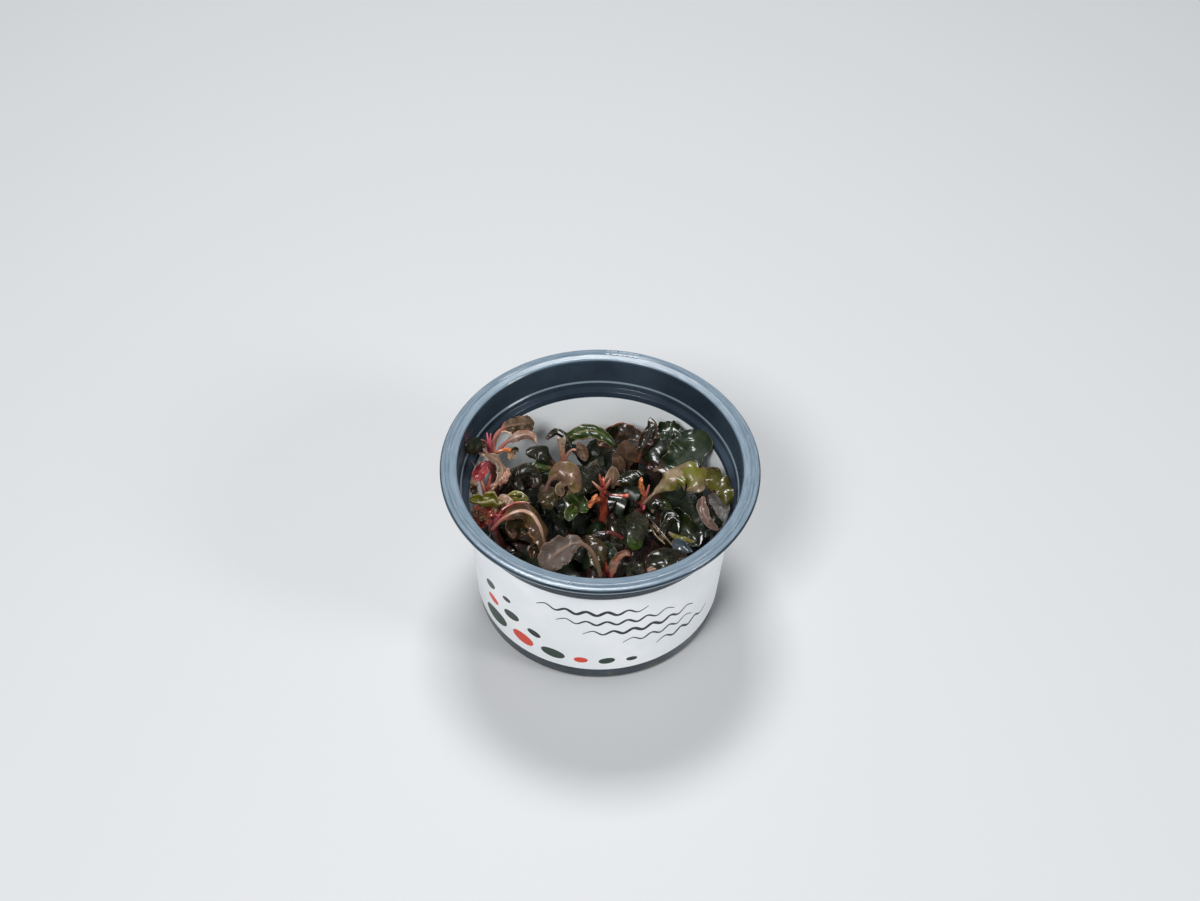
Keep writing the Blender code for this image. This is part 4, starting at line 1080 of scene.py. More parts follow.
# %% Middle group
grow("leaf_centre_1", "olivedark", [(-1.0, 19.5, 36.5), (-3.0, 12.5, 40.0), (-5.5, 5.5, 41.0),
     (-6.5, 2.5, 39.0)], 10.6, face=UP, tip_face=SEEN, stalk=0.05, cup=-0.45, widest=0.55, waves=2.2,
     ruffle=0.22, blunt=0.45)
grow("leaf_centre_2", "ochre", [(-16.5, 5.0, 38.0), (-15.0, 6.5, 42.0), (-12.5, 7.0, 44.5),
     (-9.5, 6.5, 45.0), (-7.0, 4.0, 43.5), (-8.0, 2.0, 41.0)], 7.6, tip_face=(0.6, -0.5, 0.6), stalk=0.2,
     cup=-0.3, widest=0.6, waves=2.0, ruffle=0.24, blunt=0.4)
grow("leaf_centre_3", "green", [(-9.5, 8.5, 34.5), (-7.0, 4.0, 36.0), (-5.0, 1.5, 36.0),
     (-3.0, 1.0, 35.0)], 6.6, cup=0.3, ruffle=0.25)
grow("leaf_centre_4", "green", [(-7.0, 0.0, 37.0), (-8.5, -3.0, 38.0), (-9.5, -5.5, 37.0)], 4.2, cup=0.3,
     ruffle=0.25)
grow("leaf_centre_5", "beige", [(4.0, 10.5, 34.0), (4.0, 11.5, 38.5), (4.0, 12.5, 42.0)], 4.8, stalk=0.1,
     cup=0.3, ruffle=0.18)
grow("leaf_centre_6", "olive", [(5.0, 8.5, 38.0), (8.0, 9.5, 39.5), (11.0, 10.0, 40.5),
     (13.5, 10.0, 41.0)], 4.6, looks="olivedark", cup=-0.3, ruffle=0.22)
grow("leaf_centre_7", "gloss", [(11.0, -0.5, 37.0), (11.5, -7.0, 40.5), (11.5, -12.0, 41.5),
     (11.0, -16.0, 40.0), (10.5, -17.0, 38.0)], 6.8, looks="strap", tip_face=FRONT, stalk=0.05, cup=-0.2,
     widest=0.5, waves=1.6, ruffle=0.2, twist=-18, blunt=0.32)
print("leaves so far", len(leaf_lines))

# %% Right group
grow("leaf_right_1", "teal", [(16.0, 14.0, 38.5), (20.5, 14.0, 40.5), (25.0, 15.5, 42.5),
     (28.0, 20.0, 44.0), (28.5, 25.5, 45.5)], 12.8, tip_face=(-0.3, -0.8, 0.6), stalk=0.08, cup=0.25,
     widest=0.62, waves=2.6, ruffle=0.2, notches=[(0.86, 1, 0.35, 0.05), (0.6, -1, 0.18, 0.05),
     (0.94, -1, 0.3, 0.04)], blunt=0.34)
grow("leaf_right_2", "gloss", [(12.5, 19.5, 35.5), (15.0, 19.5, 39.0), (18.0, 20.5, 41.0),
     (22.0, 21.0, 41.5)], 9.0, face=UP, tip_face=SEEN, stalk=0.05, cup=-0.3, ruffle=0.25, blunt=0.45)
grow("leaf_right_3", "brown", [(14.5, 16.0, 38.0), (18.5, 15.5, 39.0), (22.5, 18.0, 39.0)], 4.6,
     looks="maroon", cup=0.3, ruffle=0.22)
grow("leaf_right_4", "olive", [(30.5, 8.5, 47.0), (33.0, 4.5, 49.5), (35.0, -0.5, 51.5),
     (37.5, -5.5, 52.0), (37.5, -8.5, 49.5)], 6.6, face=UP, stalk=0.05, cup=-0.3, waves=3.2, ruffle=0.36,
     blunt=0.42)
grow("leaf_right_5", "olivebeige", [(13.0, -1.0, 40.0), (16.5, 1.0, 43.5), (20.5, 2.5, 47.0),
     (25.0, 3.0, 49.0), (28.5, 1.5, 49.0), (30.0, -1.5, 47.0)], 10.6, face=UP, tip_face=SEEN, stalk=0.16,
     cup=-0.4, widest=0.74, waves=3.4, ruffle=0.34, notches=[(0.66, -1, 0.65, 0.04),
     (0.84, -1, 0.4, 0.035), (0.5, -1, 0.35, 0.06), (0.92, 1, 0.4, 0.04), (0.74, 1, 0.25, 0.03)],
     blunt=0.42)
grow("leaf_right_6", "pinkbrown", [(31.0, -3.0, 47.0), (30.5, -7.5, 47.5), (32.0, -11.5, 46.5),
     (35.5, -14.0, 44.5)], 3.4, cup=0.25, waves=2.0)
grow("leaf_right_7", "lilac", [(34.0, -1.0, 47.5), (35.5, -5.0, 48.0), (36.5, -9.0, 48.0),
     (36.5, -11.5, 46.5)], 6.6, cup=0.3, waves=2.6, ruffle=0.24)
grow("leaf_right_8", "gloss", [(15.5, 7.5, 33.5), (20.5, 4.5, 37.5), (26.0, 0.0, 39.5),
     (30.5, -5.5, 39.0), (32.0, -10.5, 36.5)], 10.2, stalk=0.05, cup=-0.2, waves=3.3, blunt=0.42)
grow("leaf_right_9", "gloss", [(17.0, -0.5, 32.0), (22.0, -4.5, 36.0), (27.0, -9.0, 37.0),
     (30.5, -13.0, 36.0)], 9.8, cup=0.3, waves=3.0, blunt=0.42)
grow("leaf_right_10", "olivebrown", [(16.0, -4.5, 40.5), (16.5, -3.0, 43.0), (18.5, -2.5, 43.5),
     (20.5, -4.0, 42.5)], 4.6, looks="olivedark", face=UP, tip_face=(1.0, 0.0, 0.5), cup=-0.5)
print("leaves so far", len(leaf_lines))

# %% Front group
grow("leaf_front_1", "greybrown", [(1.0, -25.5, 35.5), (-0.5, -23.5, 41.0), (-3.0, -21.5, 44.5),
     (-6.5, -20.5, 45.5), (-10.5, -22.0, 44.5), (-14.0, -24.5, 43.0), (-17.0, -27.0, 41.5)], 8.6,
     stalk=0.45, cup=0.1, widest=0.58, waves=3.6, ruffle=0.2, notches=[(0.3, -1, 0.35, 0.05)], blunt=0.42)
grow("leaf_front_2", "olivebrown", [(2.0, -23.5, 33.0), (1.5, -21.5, 38.5), (-0.5, -18.5, 41.5),
     (-4.0, -14.5, 41.5)], 7.4, face=(1.0, -0.3, 0.6), tip_face=UP, cup=-0.3, ruffle=0.2)
grow("leaf_front_3", "pink", [(4.0, -24.0, 34.0), (4.5, -23.0, 37.5), (6.0, -22.0, 40.5),
     (8.0, -21.0, 41.5), (9.5, -21.5, 41.0)], 4.0, looks="front_curl", tip_face=UP, stalk=0.1, cup=0.8,
     blunt=0.45)
grow("leaf_front_4", "teal", [(3.0, -21.0, 32.5), (2.5, -18.5, 36.5), (2.5, -15.5, 40.5)], 7.2, cup=0.3,
     ruffle=0.25)
grow("leaf_front_5", "maroon", [(17.0, -7.0, 30.0), (15.0, -13.5, 32.5), (13.0, -19.0, 33.0)], 9.4,
     cup=0.3, ruffle=0.22)
grow("leaf_front_6", "greygreen", [(9.0, -24.0, 34.0), (10.0, -23.5, 37.5), (12.5, -23.5, 38.5),
     (14.0, -25.5, 37.0)], 5.2, face=UP, cup=-0.4, ruffle=0.25)
grow("leaf_front_7", "greygreen", [(14.0, -22.5, 36.0), (17.0, -21.0, 38.5), (21.0, -20.0, 39.5),
     (26.5, -19.5, 39.0)], 5.6, cup=0.2, ruffle=0.34, blunt=0.5)
grow("leaf_front_8", "slate", [(22.0, -13.5, 38.5), (25.0, -16.5, 39.5), (28.0, -17.5, 39.0)], 4.4,
     cup=0.3, ruffle=0.2, blunt=0.8)
print("leaves so far", len(leaf_lines))

# %% [markdown]
# ## Stems and crowns
#
# The plants have short, fleshy, red to maroon stems, ringed where old leaves came off. From the top
# of each one a tuft of narrow sheaths and leaf stalks spreads out. A stem begins as a cylinder whose
# long edges are subdivided, so it can be bent along a line and its radius can swell and shrink; the
# tuft is made of the same bent cylinders, thinner, and all of one plant's bars are joined to one piece.

# %% A fleshy bar
BAR_SIDES = 12
BAR_CUTS = 22


def bar(points, radii, looks, rings=0.0, wobble=0.05, seed=0, flatten=1.0):
    """A bar bent along points in mm; radii run from end to end, rings counts the scars round it."""
    let_go()
    bpy.ops.mesh.primitive_cylinder_add(vertices=BAR_SIDES, radius=1.0, depth=2.0, end_fill_type="TRIFAN")
    made = bpy.context.object
    bpy.ops.object.mode_set(mode="EDIT")
    bpy.ops.mesh.select_all(action="DESELECT")
    bpy.ops.object.mode_set(mode="OBJECT")
    for edge in made.data.edges:
        low, high = (made.data.vertices[index].co for index in edge.vertices)
        edge.select = abs(high.z - low.z) > 1.0
    bpy.ops.object.mode_set(mode="EDIT")
    bpy.ops.mesh.select_mode(type="EDGE")
    bpy.ops.mesh.subdivide(number_cuts=BAR_CUTS)
    bpy.ops.mesh.select_mode(type="VERT")
    bpy.ops.object.mode_set(mode="OBJECT")
    sections = BAR_CUTS + 1
    line = smooth_line(points, sections)
    across = Vector((0.31, 0.87, 0.38))
    places = []
    for vert in made.data.vertices:
        k = round((vert.co.z + 1.0) * 0.5 * sections)
        t = k / sections
        along = (line[min(k + 1, sections)] - line[max(k - 1, 0)]).normalized()
        first = along.cross(across).normalized()
        second = along.cross(first)
        share = t * (len(radii) - 1)
        low = min(int(share), len(radii) - 2)
        radius = radii[low] + (radii[low + 1] - radii[low]) * (share - low)
        scar = 1.0 + (0.1 * abs(math.sin(math.pi * rings * t)) - 0.05 if rings else 0.0)
        lump = 1.0 + wobble * noise.noise(line[k] * 0.9 + vert.co * 1.3 + Vector((seed, 0.0, 0.0))) * 2.0
        round_end = math.sqrt(max(min(1.0, t * 14.0 + 0.25, (1.0 - t) * 14.0 + 0.25), 0.0))
        reach = radius * scar * lump * round_end
        vert.co = (line[k] + first * vert.co.x * reach + second * vert.co.y * reach * flatten) * MM
        places.append((t * 10.0, vert.co.x, 0.0, t, 0.5))
    store(made, places)
    bpy.ops.object.shade_smooth()
    made.data.materials.append(stem_looks(looks))
    return made


# %% [markdown]
# A stem's skin is shiny and mottled: salmon to magenta where it is young, wine red to nearly black lower
# down and inside the tuft. Its colours run from foot to tip along the share record, with scars and
# specks by noise.

# %% Stem finishes
STEM_COLOURS = {
    "red": (seen(52, 14, 18), seen(170, 78, 60), seen(96, 30, 26)),
    "magenta": (seen(92, 26, 38), seen(176, 76, 92), seen(120, 42, 58)),
    "pink": (seen(110, 58, 52), seen(176, 128, 116), seen(136, 84, 76)),
    "maroon": (seen(36, 16, 18), seen(96, 50, 44), seen(52, 24, 24)),
    "knobbly": (seen(100, 60, 50), seen(166, 122, 100), seen(126, 80, 60)),
    "amber": (seen(112, 48, 32), seen(184, 108, 64), seen(92, 42, 28)),
    "rosy": (seen(102, 26, 32), seen(164, 88, 78), seen(110, 46, 42)),
    "salmon": (seen(118, 48, 44), seen(178, 128, 108), seen(136, 82, 66)),
    "pale": (seen(140, 84, 68), seen(184, 158, 134), seen(124, 90, 66)),
    "dead": (seen(76, 60, 42), seen(118, 98, 72), seen(56, 42, 30)),
}
print("kinds of stem", len(STEM_COLOURS))
made_stem_looks = {}


def stem_looks(looks):
    if looks not in made_stem_looks:
        foot, tip, scar = STEM_COLOURS[looks]
        made = Finish(looks + " stem", coat_weight=0.4, coat_roughness=0.1)
        fine = made.noise(900.0, 4.0)
        skin = made.mix(made.ramp(made.record("share").outputs[0], 0.1, 0.85), foot, tip)
        made.wire("Base Color", made.mix(made.ramp(fine, 0.5, 0.66, 0.0, 0.8), skin, scar))
        made.wire("Roughness", made.ramp(fine, 0.3, 0.7, 0.24, 0.42))
        made.bump(fine, 0.4, 0.0002)
        made_stem_looks[looks] = made.material
    return made_stem_looks[looks]


# %% Left plants
GEL_TOP = 10.0


def shoot(name, slot, node, bars):
    """Join one plant's bars to a piece that stands for its stem's solid."""
    piece = join(bars)
    settle(piece, name, slot, node)
    print(name, "faces", len(piece.data.polygons))


shoot("shoot_left_back", "red", "stem_left_back", [
    bar([(-32.0, 11.5, GEL_TOP), (-32.3, 11.8, 30.0), (-33.3, 13.0, 45.0)], (1.2, 1.3, 1.0), "maroon", 9.0),
    bar([(-33.4, 13.2, 43.5), (-34.0, 15.5, 47.0), (-34.7, 18.0, 50.0)], (0.9, 0.6, 0.15), "magenta",
        seed=1),
    bar([(-33.4, 13.2, 43.5), (-32.9, 15.6, 47.0), (-31.6, 17.8, 50.0)], (0.8, 0.5, 0.12), "magenta",
        seed=2),
    bar([(-33.6, 13.0, 43.5), (-33.7, 15.4, 47.5), (-33.4, 17.3, 50.4)], (0.9, 0.6, 0.15), "magenta",
        seed=3),
    bar([(-33.3, 13.0, 44.0), (-31.5, 13.4, 46.0), (-29.0, 14.0, 46.8), (-27.4, 14.2, 46.0)],
        (0.9, 0.5, 0.55, 0.9), "amber", wobble=0.25, seed=4),
    bar([(-33.3, 12.8, 43.0), (-33.8, 11.5, 46.5), (-35.5, 11.5, 50.0)], (0.7, 0.55, 0.3), "pink", seed=5),
    bar([(-33.5, 14.2, 46.0), (-35.4, 15.3, 49.0), (-37.9, 13.7, 50.7), (-39.3, 11.9, 51.5)],
        (0.6, 0.5, 0.5, 0.3), "salmon", seed=30, flatten=0.6),
    bar([(-32.6, 13.9, 45.4), (-31.6, 16.8, 49.0), (-29.6, 18.2, 50.3), (-27.2, 17.4, 49.6),
        (-26.6, 15.4, 47.6)], (0.5, 0.42, 0.4, 0.4, 0.3), "pale", seed=31, flatten=0.7),
])
shoot("shoot_left_middle", "pink", "stem_left_middle", [
    bar([(-31.5, 1.0, GEL_TOP), (-32.0, 1.0, 28.0), (-34.2, 1.2, 40.5)], (1.1, 1.2, 0.9), "maroon", 8.0),
    bar([(-34.4, 1.3, 39.5), (-35.4, 3.0, 43.0), (-36.6, 4.8, 46.0)], (0.8, 0.6, 0.3), "salmon", seed=6),
    bar([(-34.2, 1.2, 39.5), (-33.6, 3.2, 43.0), (-33.0, 5.0, 45.5)], (0.8, 0.6, 0.3), "red", seed=7),
    bar([(-34.2, 1.0, 39.5), (-32.4, 2.2, 42.0), (-30.0, 4.5, 44.0), (-28.6, 6.8, 44.4)],
        (0.7, 0.5, 0.6, 0.9), "knobbly", wobble=0.25, seed=8),
    bar([(-30.4, 3.0, 42.6), (-29.0, 4.4, 43.6), (-28.0, 6.4, 44.0), (-28.6, 8.4, 44.2)],
        (0.5, 1.0, 0.7, 1.1), "knobbly", wobble=0.35, seed=32),
    bar([(-39.2, 9.2, 47.0), (-37.9, 7.4, 46.0), (-38.2, 5.2, 45.0)], (0.15, 0.3, 0.12), "pale", seed=33,
        flatten=0.4),
])
shoot("shoot_left_front", "red", "stem_left_front", [
    bar([(-28.5, -9.0, GEL_TOP), (-29.0, -9.0, 26.0), (-31.6, -9.8, 38.0)], (1.2, 1.4, 1.1), "maroon", 8.0),
    bar([(-31.8, -10.0, 37.0), (-31.0, -8.8, 40.0), (-29.4, -7.2, 42.4)], (1.1, 0.9, 0.55), "magenta",
        seed=9),
    bar([(-32.0, -10.0, 37.0), (-32.8, -9.0, 40.0), (-33.4, -8.0, 42.0)], (0.9, 0.6, 0.15), "magenta",
        seed=10),
    bar([(-31.6, -9.8, 37.3), (-29.6, -6.6, 41.6), (-25.4, -4.4, 43.6), (-20.6, -4.4, 44.0)],
        (0.8, 0.7, 0.6, 0.2), "rosy", seed=11, flatten=0.7),
    bar([(-32.6, -8.6, 38.0), (-34.6, -7.6, 40.5), (-36.8, -7.6, 42.0)], (0.7, 0.6, 0.2), "amber",
        wobble=0.2, seed=12),
])

# %% Middle, right, front and back plants
shoot("shoot_centre", "red", "stem_centre", [
    bar([(1.5, 5.0, GEL_TOP), (1.5, 5.2, 25.0), (1.2, 6.2, 36.0), (1.0, 7.3, 42.6)],
        (1.2, 1.6, 1.3, 0.7), "red", 9.0, wobble=0.12),
    bar([(1.4, 5.2, 37.0), (3.6, 4.4, 38.0), (6.2, 4.0, 38.3), (8.0, 3.8, 38.5), (9.0, 3.8, 38.6)],
        (0.6, 0.4, 0.4, 0.5, 0.9), "red", seed=13),
    bar([(0.9, 5.6, 38.0), (-0.8, 5.2, 41.0), (-2.4, 5.4, 43.0)], (0.7, 0.5, 0.2), "salmon", seed=14),
    bar([(1.3, 6.0, 38.5), (2.4, 6.2, 41.0), (3.2, 6.8, 43.0)], (0.7, 0.5, 0.2), "salmon", seed=15),
    bar([(1.0, 6.2, 39.5), (0.2, 6.8, 42.0), (-0.2, 7.2, 44.2)], (0.6, 0.45, 0.3), "rosy", seed=34),
    bar([(0.6, 4.4, 36.5), (-1.2, 1.4, 38.6), (-1.9, 0.6, 40.2), (-0.6, 1.6, 41.4)],
        (0.6, 0.9, 0.7, 0.4), "amber", wobble=0.35, seed=16),
    bar([(-1.4, 1.0, 39.4), (-2.6, -0.2, 39.2), (-3.0, -1.4, 38.4)], (0.6, 0.8, 0.3), "amber",
        wobble=0.4, seed=35),
])
shoot("shoot_right", "maroon", "stem_right", [
    bar([(12.5, 3.5, GEL_TOP), (12.5, 3.6, 25.0), (12.6, 3.6, 34.8)], (1.2, 1.4, 1.2), "maroon", 7.0),
    bar([(12.7, 3.4, 34.0), (13.5, 4.6, 37.5), (12.5, 6.4, 40.4), (12.6, 7.8, 42.6)],
        (0.8, 0.6, 0.75, 0.5), "amber", rings=5.0, wobble=0.3, seed=17),
    bar([(12.9, 3.4, 34.0), (14.3, 4.8, 38.2), (15.0, 6.4, 40.8)], (0.7, 0.45, 0.3), "rosy", seed=18),
    bar([(12.3, 3.2, 34.0), (10.8, 2.6, 37.5), (10.9, 1.4, 39.0)], (0.7, 0.45, 0.2), "maroon", seed=19),
    bar([(12.8, 3.2, 34.4), (13.6, 1.6, 36.2), (13.4, -0.2, 37.0)], (0.7, 0.5, 0.3), "magenta", seed=36),
])
shoot("shoot_front", "red", "stem_front", [
    bar([(3.0, -17.0, GEL_TOP), (3.0, -17.5, 22.0), (3.0, -20.5, 33.0)], (1.1, 1.2, 1.0), "maroon", 7.0),
    bar([(3.0, -21.0, 31.5), (2.7, -21.8, 35.0), (2.3, -21.4, 37.8)], (0.9, 0.6, 0.15), "red", seed=20),
    bar([(3.2, -21.0, 31.5), (4.4, -23.0, 34.0), (5.2, -23.6, 37.0)], (0.8, 0.55, 0.3), "rosy", seed=21),
    bar([(2.6, -21.0, 31.5), (1.4, -23.5, 34.5), (0.8, -24.0, 37.0)], (0.8, 0.6, 0.3), "rosy", seed=22),
])
shoot("shoot_back", "maroon", "stem_back", [
    bar([(-11.5, 18.0, GEL_TOP), (-11.5, 18.0, 24.0), (-11.5, 19.0, 32.0)], (1.1, 1.2, 1.0), "maroon", 7.0),
    bar([(-11.3, 19.2, 31.0), (-10.4, 20.4, 37.0), (-8.8, 20.2, 40.2), (-7.4, 19.6, 40.8)],
        (0.7, 0.45, 0.4, 0.4), "salmon", seed=23),
])

# %% Cut stalks and dead sticks
shoot("cut_leaf_stalks", "pink", "cut_stalk", [
    bar([(-11.5, 19.5, 33.0), (-12.4, 21.0, 40.0), (-13.0, 20.6, 45.6)], (0.6, 0.55, 0.72), "pale", seed=24,
        wobble=0.12, flatten=0.5),
    bar([(-11.5, 19.6, 33.4), (-11.6, 21.0, 40.0), (-11.1, 20.6, 45.6)], (0.55, 0.5, 0.64), "pale", seed=25,
        wobble=0.12, flatten=0.5),
])
shoot("dead_leaf_stalks", "brown", "dead_stalk", [
    bar([(14.5, -3.0, 37.5), (19.5, -10.5, 37.6), (24.0, -16.5, 36.6)], (0.5, 0.4, 0.3), "dead", wobble=0.15,
        seed=26, flatten=0.6),
    bar([(16.0, -6.5, 37.6), (18.0, -9.0, 37.3), (20.5, -11.5, 36.6)], (0.4, 0.35, 0.25), "dead",
        wobble=0.15, seed=27),
    bar([(15.4, -6.0, 37.0), (17.0, -10.0, 37.0), (20.0, -13.0, 36.4)], (0.3, 0.3, 0.2), "dead", wobble=0.15,
        seed=37),
])

# %% [markdown]
# ## Low leaves
#
# Under the leaves that can be told apart lies a dark crowd of others, which hides the gel. Like
# the rest they belong to small rosettes: each crown sends out some blades that rise, arch over and end
# a little lower. A spiral spreads the crowns evenly over the bed, and a seeded dice varies every blade.
# Their crests keep under the canopy, the height that the crowd reaches. It rises towards the right and
# the back and dips below every leaf that passes over it. They use the same leaf maker with a coarser
# section, so that the whole crowd stays light.

# %% Low leaves
LOW_SECTION = (-1.0, -0.8, -0.4, 0.0, 0.4, 0.8, 1.0)
LOW_STEPS = 14
ROSETTES = 24
BLADES = 8
LOW_REACH = 31.0
GOLDEN_TURN = 2.39996
WALL_CLEARANCE = 2.2
CANOPY_MIDDLE = 28.5
CANOPY_BACK_RISE = 0.06
CANOPY_RIGHT_RISE = 0.1
CANOPY_CORNER_RISE = 0.005
low_looks = ["low_dark"] * 7 + ["low_green"] * 5 + ["low_brown"] * 3 + ["gloss", "olivedark", "maroon"]


def height_under_leaves(x, y):
    """The canopy's height at a place in mm, or lower where a leaf passes over it."""
    behind = max(y, 0.0)
    right_rise = CANOPY_RIGHT_RISE + CANOPY_CORNER_RISE * behind
    height = CANOPY_MIDDLE + CANOPY_BACK_RISE * behind + right_rise * x
    for line, width in leaf_lines:
        for place in line:
            if math.hypot(place.x - x, place.y - y) < width * 0.5:
                height = min(height, place.z - 2.0)
    return height


def low_blade(dice, crown, number):
    heading = number * GOLDEN_TURN + dice.uniform(-0.5, 0.5)
    out = Vector((math.cos(heading), math.sin(heading), 0.0))
    reach = dice.uniform(8.0, 14.0)
    crest = crown + out * reach * 0.6
    top = max(height_under_leaves(crest.x, crest.y) - dice.uniform(0.3, 3.5), crown.z + 3.0)
    rise = Vector((0.0, 0.0, top - crown.z))
    points = [
        crown,
        crown + out * reach * 0.22 + rise * 0.62,
        crown + out * reach * 0.6 + rise,
        crown + out * reach * 0.95 + rise * dice.uniform(0.75, 0.95),
        crown + out * reach * 1.2 + rise * dice.uniform(0.3, 0.7),
    ]
    kept = []
    for point in points:
        flat = math.hypot(point.x, point.y)
        limit = wall_radius(point.z) - WALL - WALL_CLEARANCE
        squeeze = min(1.0, limit / max(flat, 0.01))
        kept.append((point.x * squeeze, point.y * squeeze, point.z))
    face = (-0.8 * out.x, -0.8 * out.y, 0.7)
    tip_face = (0.5 * out.x, 0.5 * out.y - 0.2, 0.85)
    return leaf("low", dice.choice(low_looks), kept, dice.uniform(4.2, 7.6), face=face, tip_face=tip_face,
                stalk=0.2, cup=dice.uniform(-0.35, 0.3), ruffle=dice.uniform(0.15, 0.4),
                twist=dice.uniform(-25.0, 25.0), phase=dice.uniform(0.0, 6.0), blunt=0.5, steps=LOW_STEPS,
                sections=LOW_SECTION)


dice = random.Random(11)
low_blades = []
for number in range(ROSETTES):
    turn = number * GOLDEN_TURN
    spread = LOW_REACH * math.sqrt((number + 0.5) / ROSETTES)
    x, y = spread * math.cos(turn), spread * math.sin(turn) - 1.5
    crown = Vector((x, y, height_under_leaves(x, y) - dice.uniform(9.0, 13.0)))
    for blade_number in range(BLADES):
        low_blades.append(low_blade(dice, crown, blade_number))
crowd = join(low_blades)
settle(crowd, "low_leaf_crowd", "low_leaf", "low_leaves")
print("low leaves", len(low_blades), "faces", len(crowd.data.polygons))

# %% [markdown]
# ## Scraps, and leaves too small to count
#
# Between the crowns on the left lie crumpled bits of old leaf, red, tan and orange, shiny with
# water. Each is a small leaf with strong waves, bent the way it lies. A few more narrow blades and
# curled edges that can be made out between the large leaves are added in the same way.

# %% Scraps on the left
scrap_places = [
    (-37.4, -8.4, 43.0, "scrap_tan"), (-36.2, -6.9, 43.0, "scrap_red"), (-36.6, -9.6, 41.8, "scrap_red"),
    (-34.6, -9.2, 42.0, "scrap_tan"), (-33.0, -7.4, 42.4, "scrap_red"), (-31.4, -5.8, 42.2, "scrap_tan"),
    (-33.4, -9.6, 41.0, "scrap_red"), (-31.2, -8.0, 41.6, "scrap_red"), (-29.4, -6.6, 41.6, "scrap_red"),
    (-35.4, -10.4, 40.2, "scrap_red"), (-37.6, -9.6, 40.8, "orange"), (-35.0, -7.6, 42.6, "orange"),
    (-29.6, 8.0, 44.0, "scrap_tan"), (-28.6, 5.4, 43.6, "beige"), (-27.0, 12.6, 45.6, "scrap_tan"),
    (-38.6, 2.4, 44.0, "scrap_tan"), (-37.6, 0.8, 43.0, "hanging"), (-26.4, 14.6, 45.6, "hanging"),
]
dice = random.Random(7)
scraps = []
for number, (x, y, z, looks) in enumerate(scrap_places):
    heading = dice.uniform(0.0, math.tau)
    out = Vector((math.cos(heading), math.sin(heading), dice.uniform(-0.3, 0.5)))
    middle = Vector((x, y, z))
    bow = Vector((0.0, 0.0, dice.uniform(0.3, 0.9)))
    path = [tuple(middle - out * 1.7), tuple(middle + bow), tuple(middle + out * 1.7)]
    scraps.append(leaf("scrap", looks, path, dice.uniform(2.2, 3.4), face=(0.3 * out.y, -0.5, 0.8),
                       cup=dice.uniform(-0.6, 0.7), ruffle=0.55, waves=dice.choice((1.5, 2.0, 2.5)),
                       phase=number * 1.3, blunt=0.35, twist=dice.uniform(-50.0, 50.0), steps=18,
                       sections=LOW_SECTION))
settle(join(scraps), "old_leaf_scraps", "orange")
print("scraps", len(scraps))

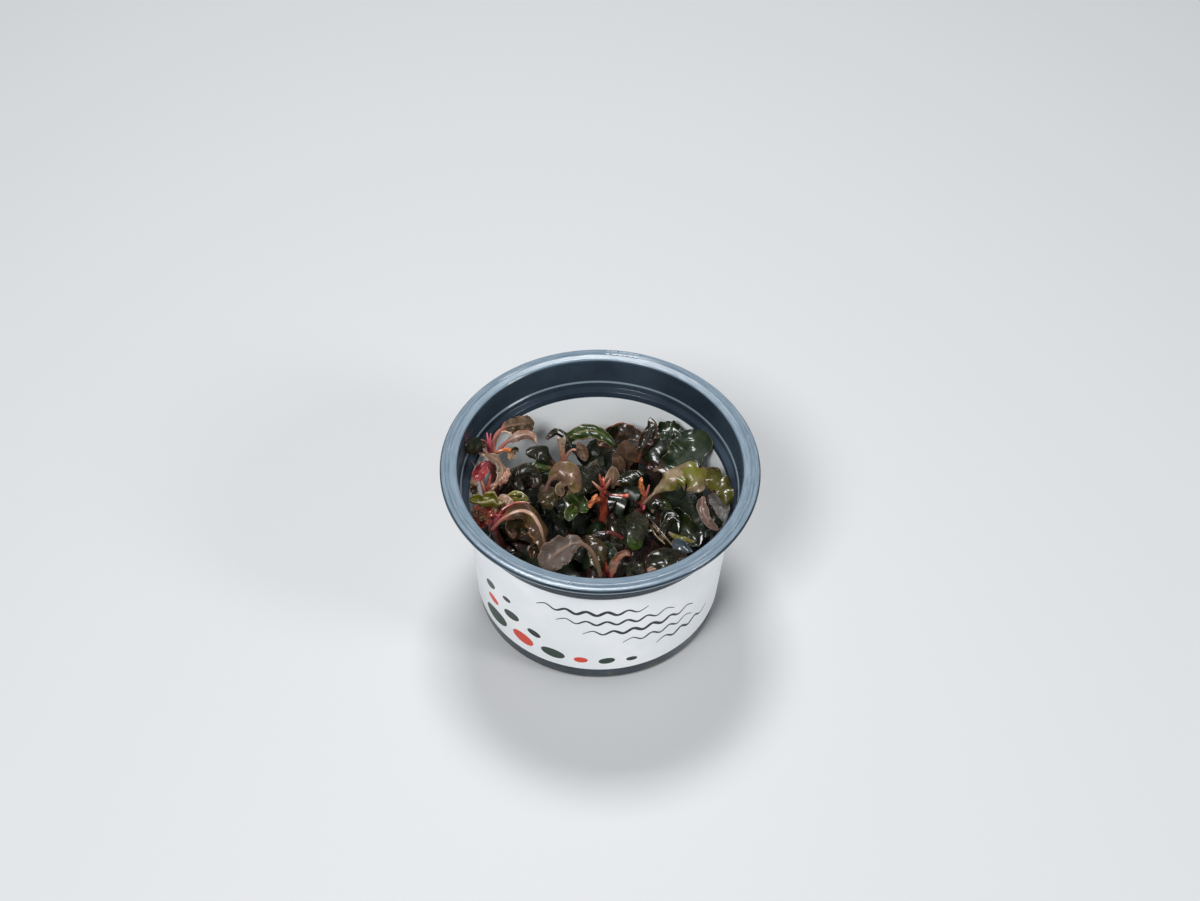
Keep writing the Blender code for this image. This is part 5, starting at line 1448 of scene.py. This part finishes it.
# %% Small blades between the large ones
small_blades = [
    leaf("small", "beige", [(-11.5, 6.8, 34.0), (-12.1, 7.5, 37.0), (-11.3, 8.6, 39.0)], 3.0, phase=0.4,
         ruffle=0.2),
    leaf("small", "green", [(-15.0, 16.5, 36.0), (-19.0, 15.0, 38.0), (-23.5, 14.5, 38.0),
         (-28.0, 13.0, 37.5)], 3.6, face=UP, cup=-0.4, phase=1.4),
    leaf("small", "beige", [(14.2, -23.4, 36.0), (19.5, -21.6, 36.8), (25.3, -20.5, 36.8)], 3.0,
         phase=2.0, ruffle=0.2),
    leaf("small", "olivedark", [(19.0, -9.0, 37.0), (20.6, -6.6, 40.0), (22.4, -5.8, 41.0),
         (24.4, -7.6, 40.0)], 3.0, face=UP, cup=-0.5, phase=3.0, ruffle=0.2),
    leaf("small", "dark", [(2.0, 28.0, 36.0), (3.6, 28.8, 39.5), (4.0, 29.0, 42.0)], 2.2, phase=2.4),
    leaf("small", "olivedark", [(18.9, -11.9, 36.0), (19.8, -5.3, 40.0), (22.7, -5.6, 40.5),
         (24.0, -9.5, 37.5)], 2.6, face=UP, cup=0.5, phase=0.9),
    leaf("small", "green", [(15.3, -1.2, 38.0), (18.7, -0.4, 41.0), (20.5, -2.7, 40.5),
         (18.8, -5.6, 38.0)], 3.0, face=UP, cup=-0.5, phase=1.9, ruffle=0.25),
    leaf("small", "olivebeige", [(21.0, -9.0, 37.0), (24.9, -12.2, 38.3), (29.0, -12.8, 37.6)], 2.2,
         face=UP, cup=-0.4, phase=2.6),
    leaf("small", "brown", [(-27.5, 21.0, 45.6), (-23.7, 22.6, 46.4), (-20.8, 24.2, 45.8)], 3.4,
         face=FRONT, cup=0.4, phase=0.2, ruffle=0.4),
    leaf("small", "yellow", [(-28.2, -1.9, 41.4), (-24.8, -1.1, 42.3), (-21.5, -1.9, 41.6)], 4.0,
         cup=-0.3, phase=3.3, blunt=0.35),
    leaf("small", "greygreen", [(-17.0, 25.4, 39.0), (-14.0, 26.4, 41.4), (-10.8, 24.8, 41.0),
         (-8.9, 21.6, 39.5)], 2.8, cup=-0.5, phase=4.0),
    leaf("small", "maroon", [(7.5, -9.5, 34.0), (4.0, -8.4, 35.5), (0.0, -8.8, 35.5),
         (-2.5, -9.5, 34.5)], 1.8, face=UP, phase=1.1, stalk=0.5),
]
settle(join(small_blades), "small_blades", "olive")
print("small blades", len(small_blades))

# %% [markdown]
# ## The gel
#
# The plants stand in a clear, slightly brown jelly. It is seen through the open strip below the label.
# It is drawn up like the cup, with a rim where it climbs the wall, and its finish is plain
# transmission with a faint tint that changes a little from place to place.

# %% Gel bed
gel_clear = WALL + 0.1
gel = pull_rings([
    (FLOOR_RADIUS, 1.9),
    (FOOT_RADIUS - 1.2, 1.9),
    (FOOT_RADIUS + 1.0, 1.1),
    (BASE_RADIUS - 2.0, 1.1),
    (wall_radius(2.6) - gel_clear, 2.7),
    (wall_radius(GEL_TOP) - gel_clear, GEL_TOP),
    (wall_radius(GEL_TOP) - gel_clear - 0.8, GEL_TOP - 0.5),
    (wall_radius(GEL_TOP) - gel_clear - 2.5, GEL_TOP - 0.9),
    (FLOOR_RADIUS, GEL_TOP - 1.0),
], 96)
smooth_by_angle(gel, 50.0)
settle(gel, "gel_bed", "gel", "gel")
jelly = Finish("clear jelly", transmission_weight=0.85, ior=1.34, roughness=0.12)
tint = jelly.ramp(jelly.noise(120.0, 3.0), 0.35, 0.7)
jelly.wire("Base Color", jelly.mix(tint, seen(150, 158, 150), seen(96, 92, 76)))
jelly.bump(jelly.noise(260.0, 2.0), 0.2, 0.0004)
jelly.dress(gel)
print("gel faces", len(gel.data.polygons))
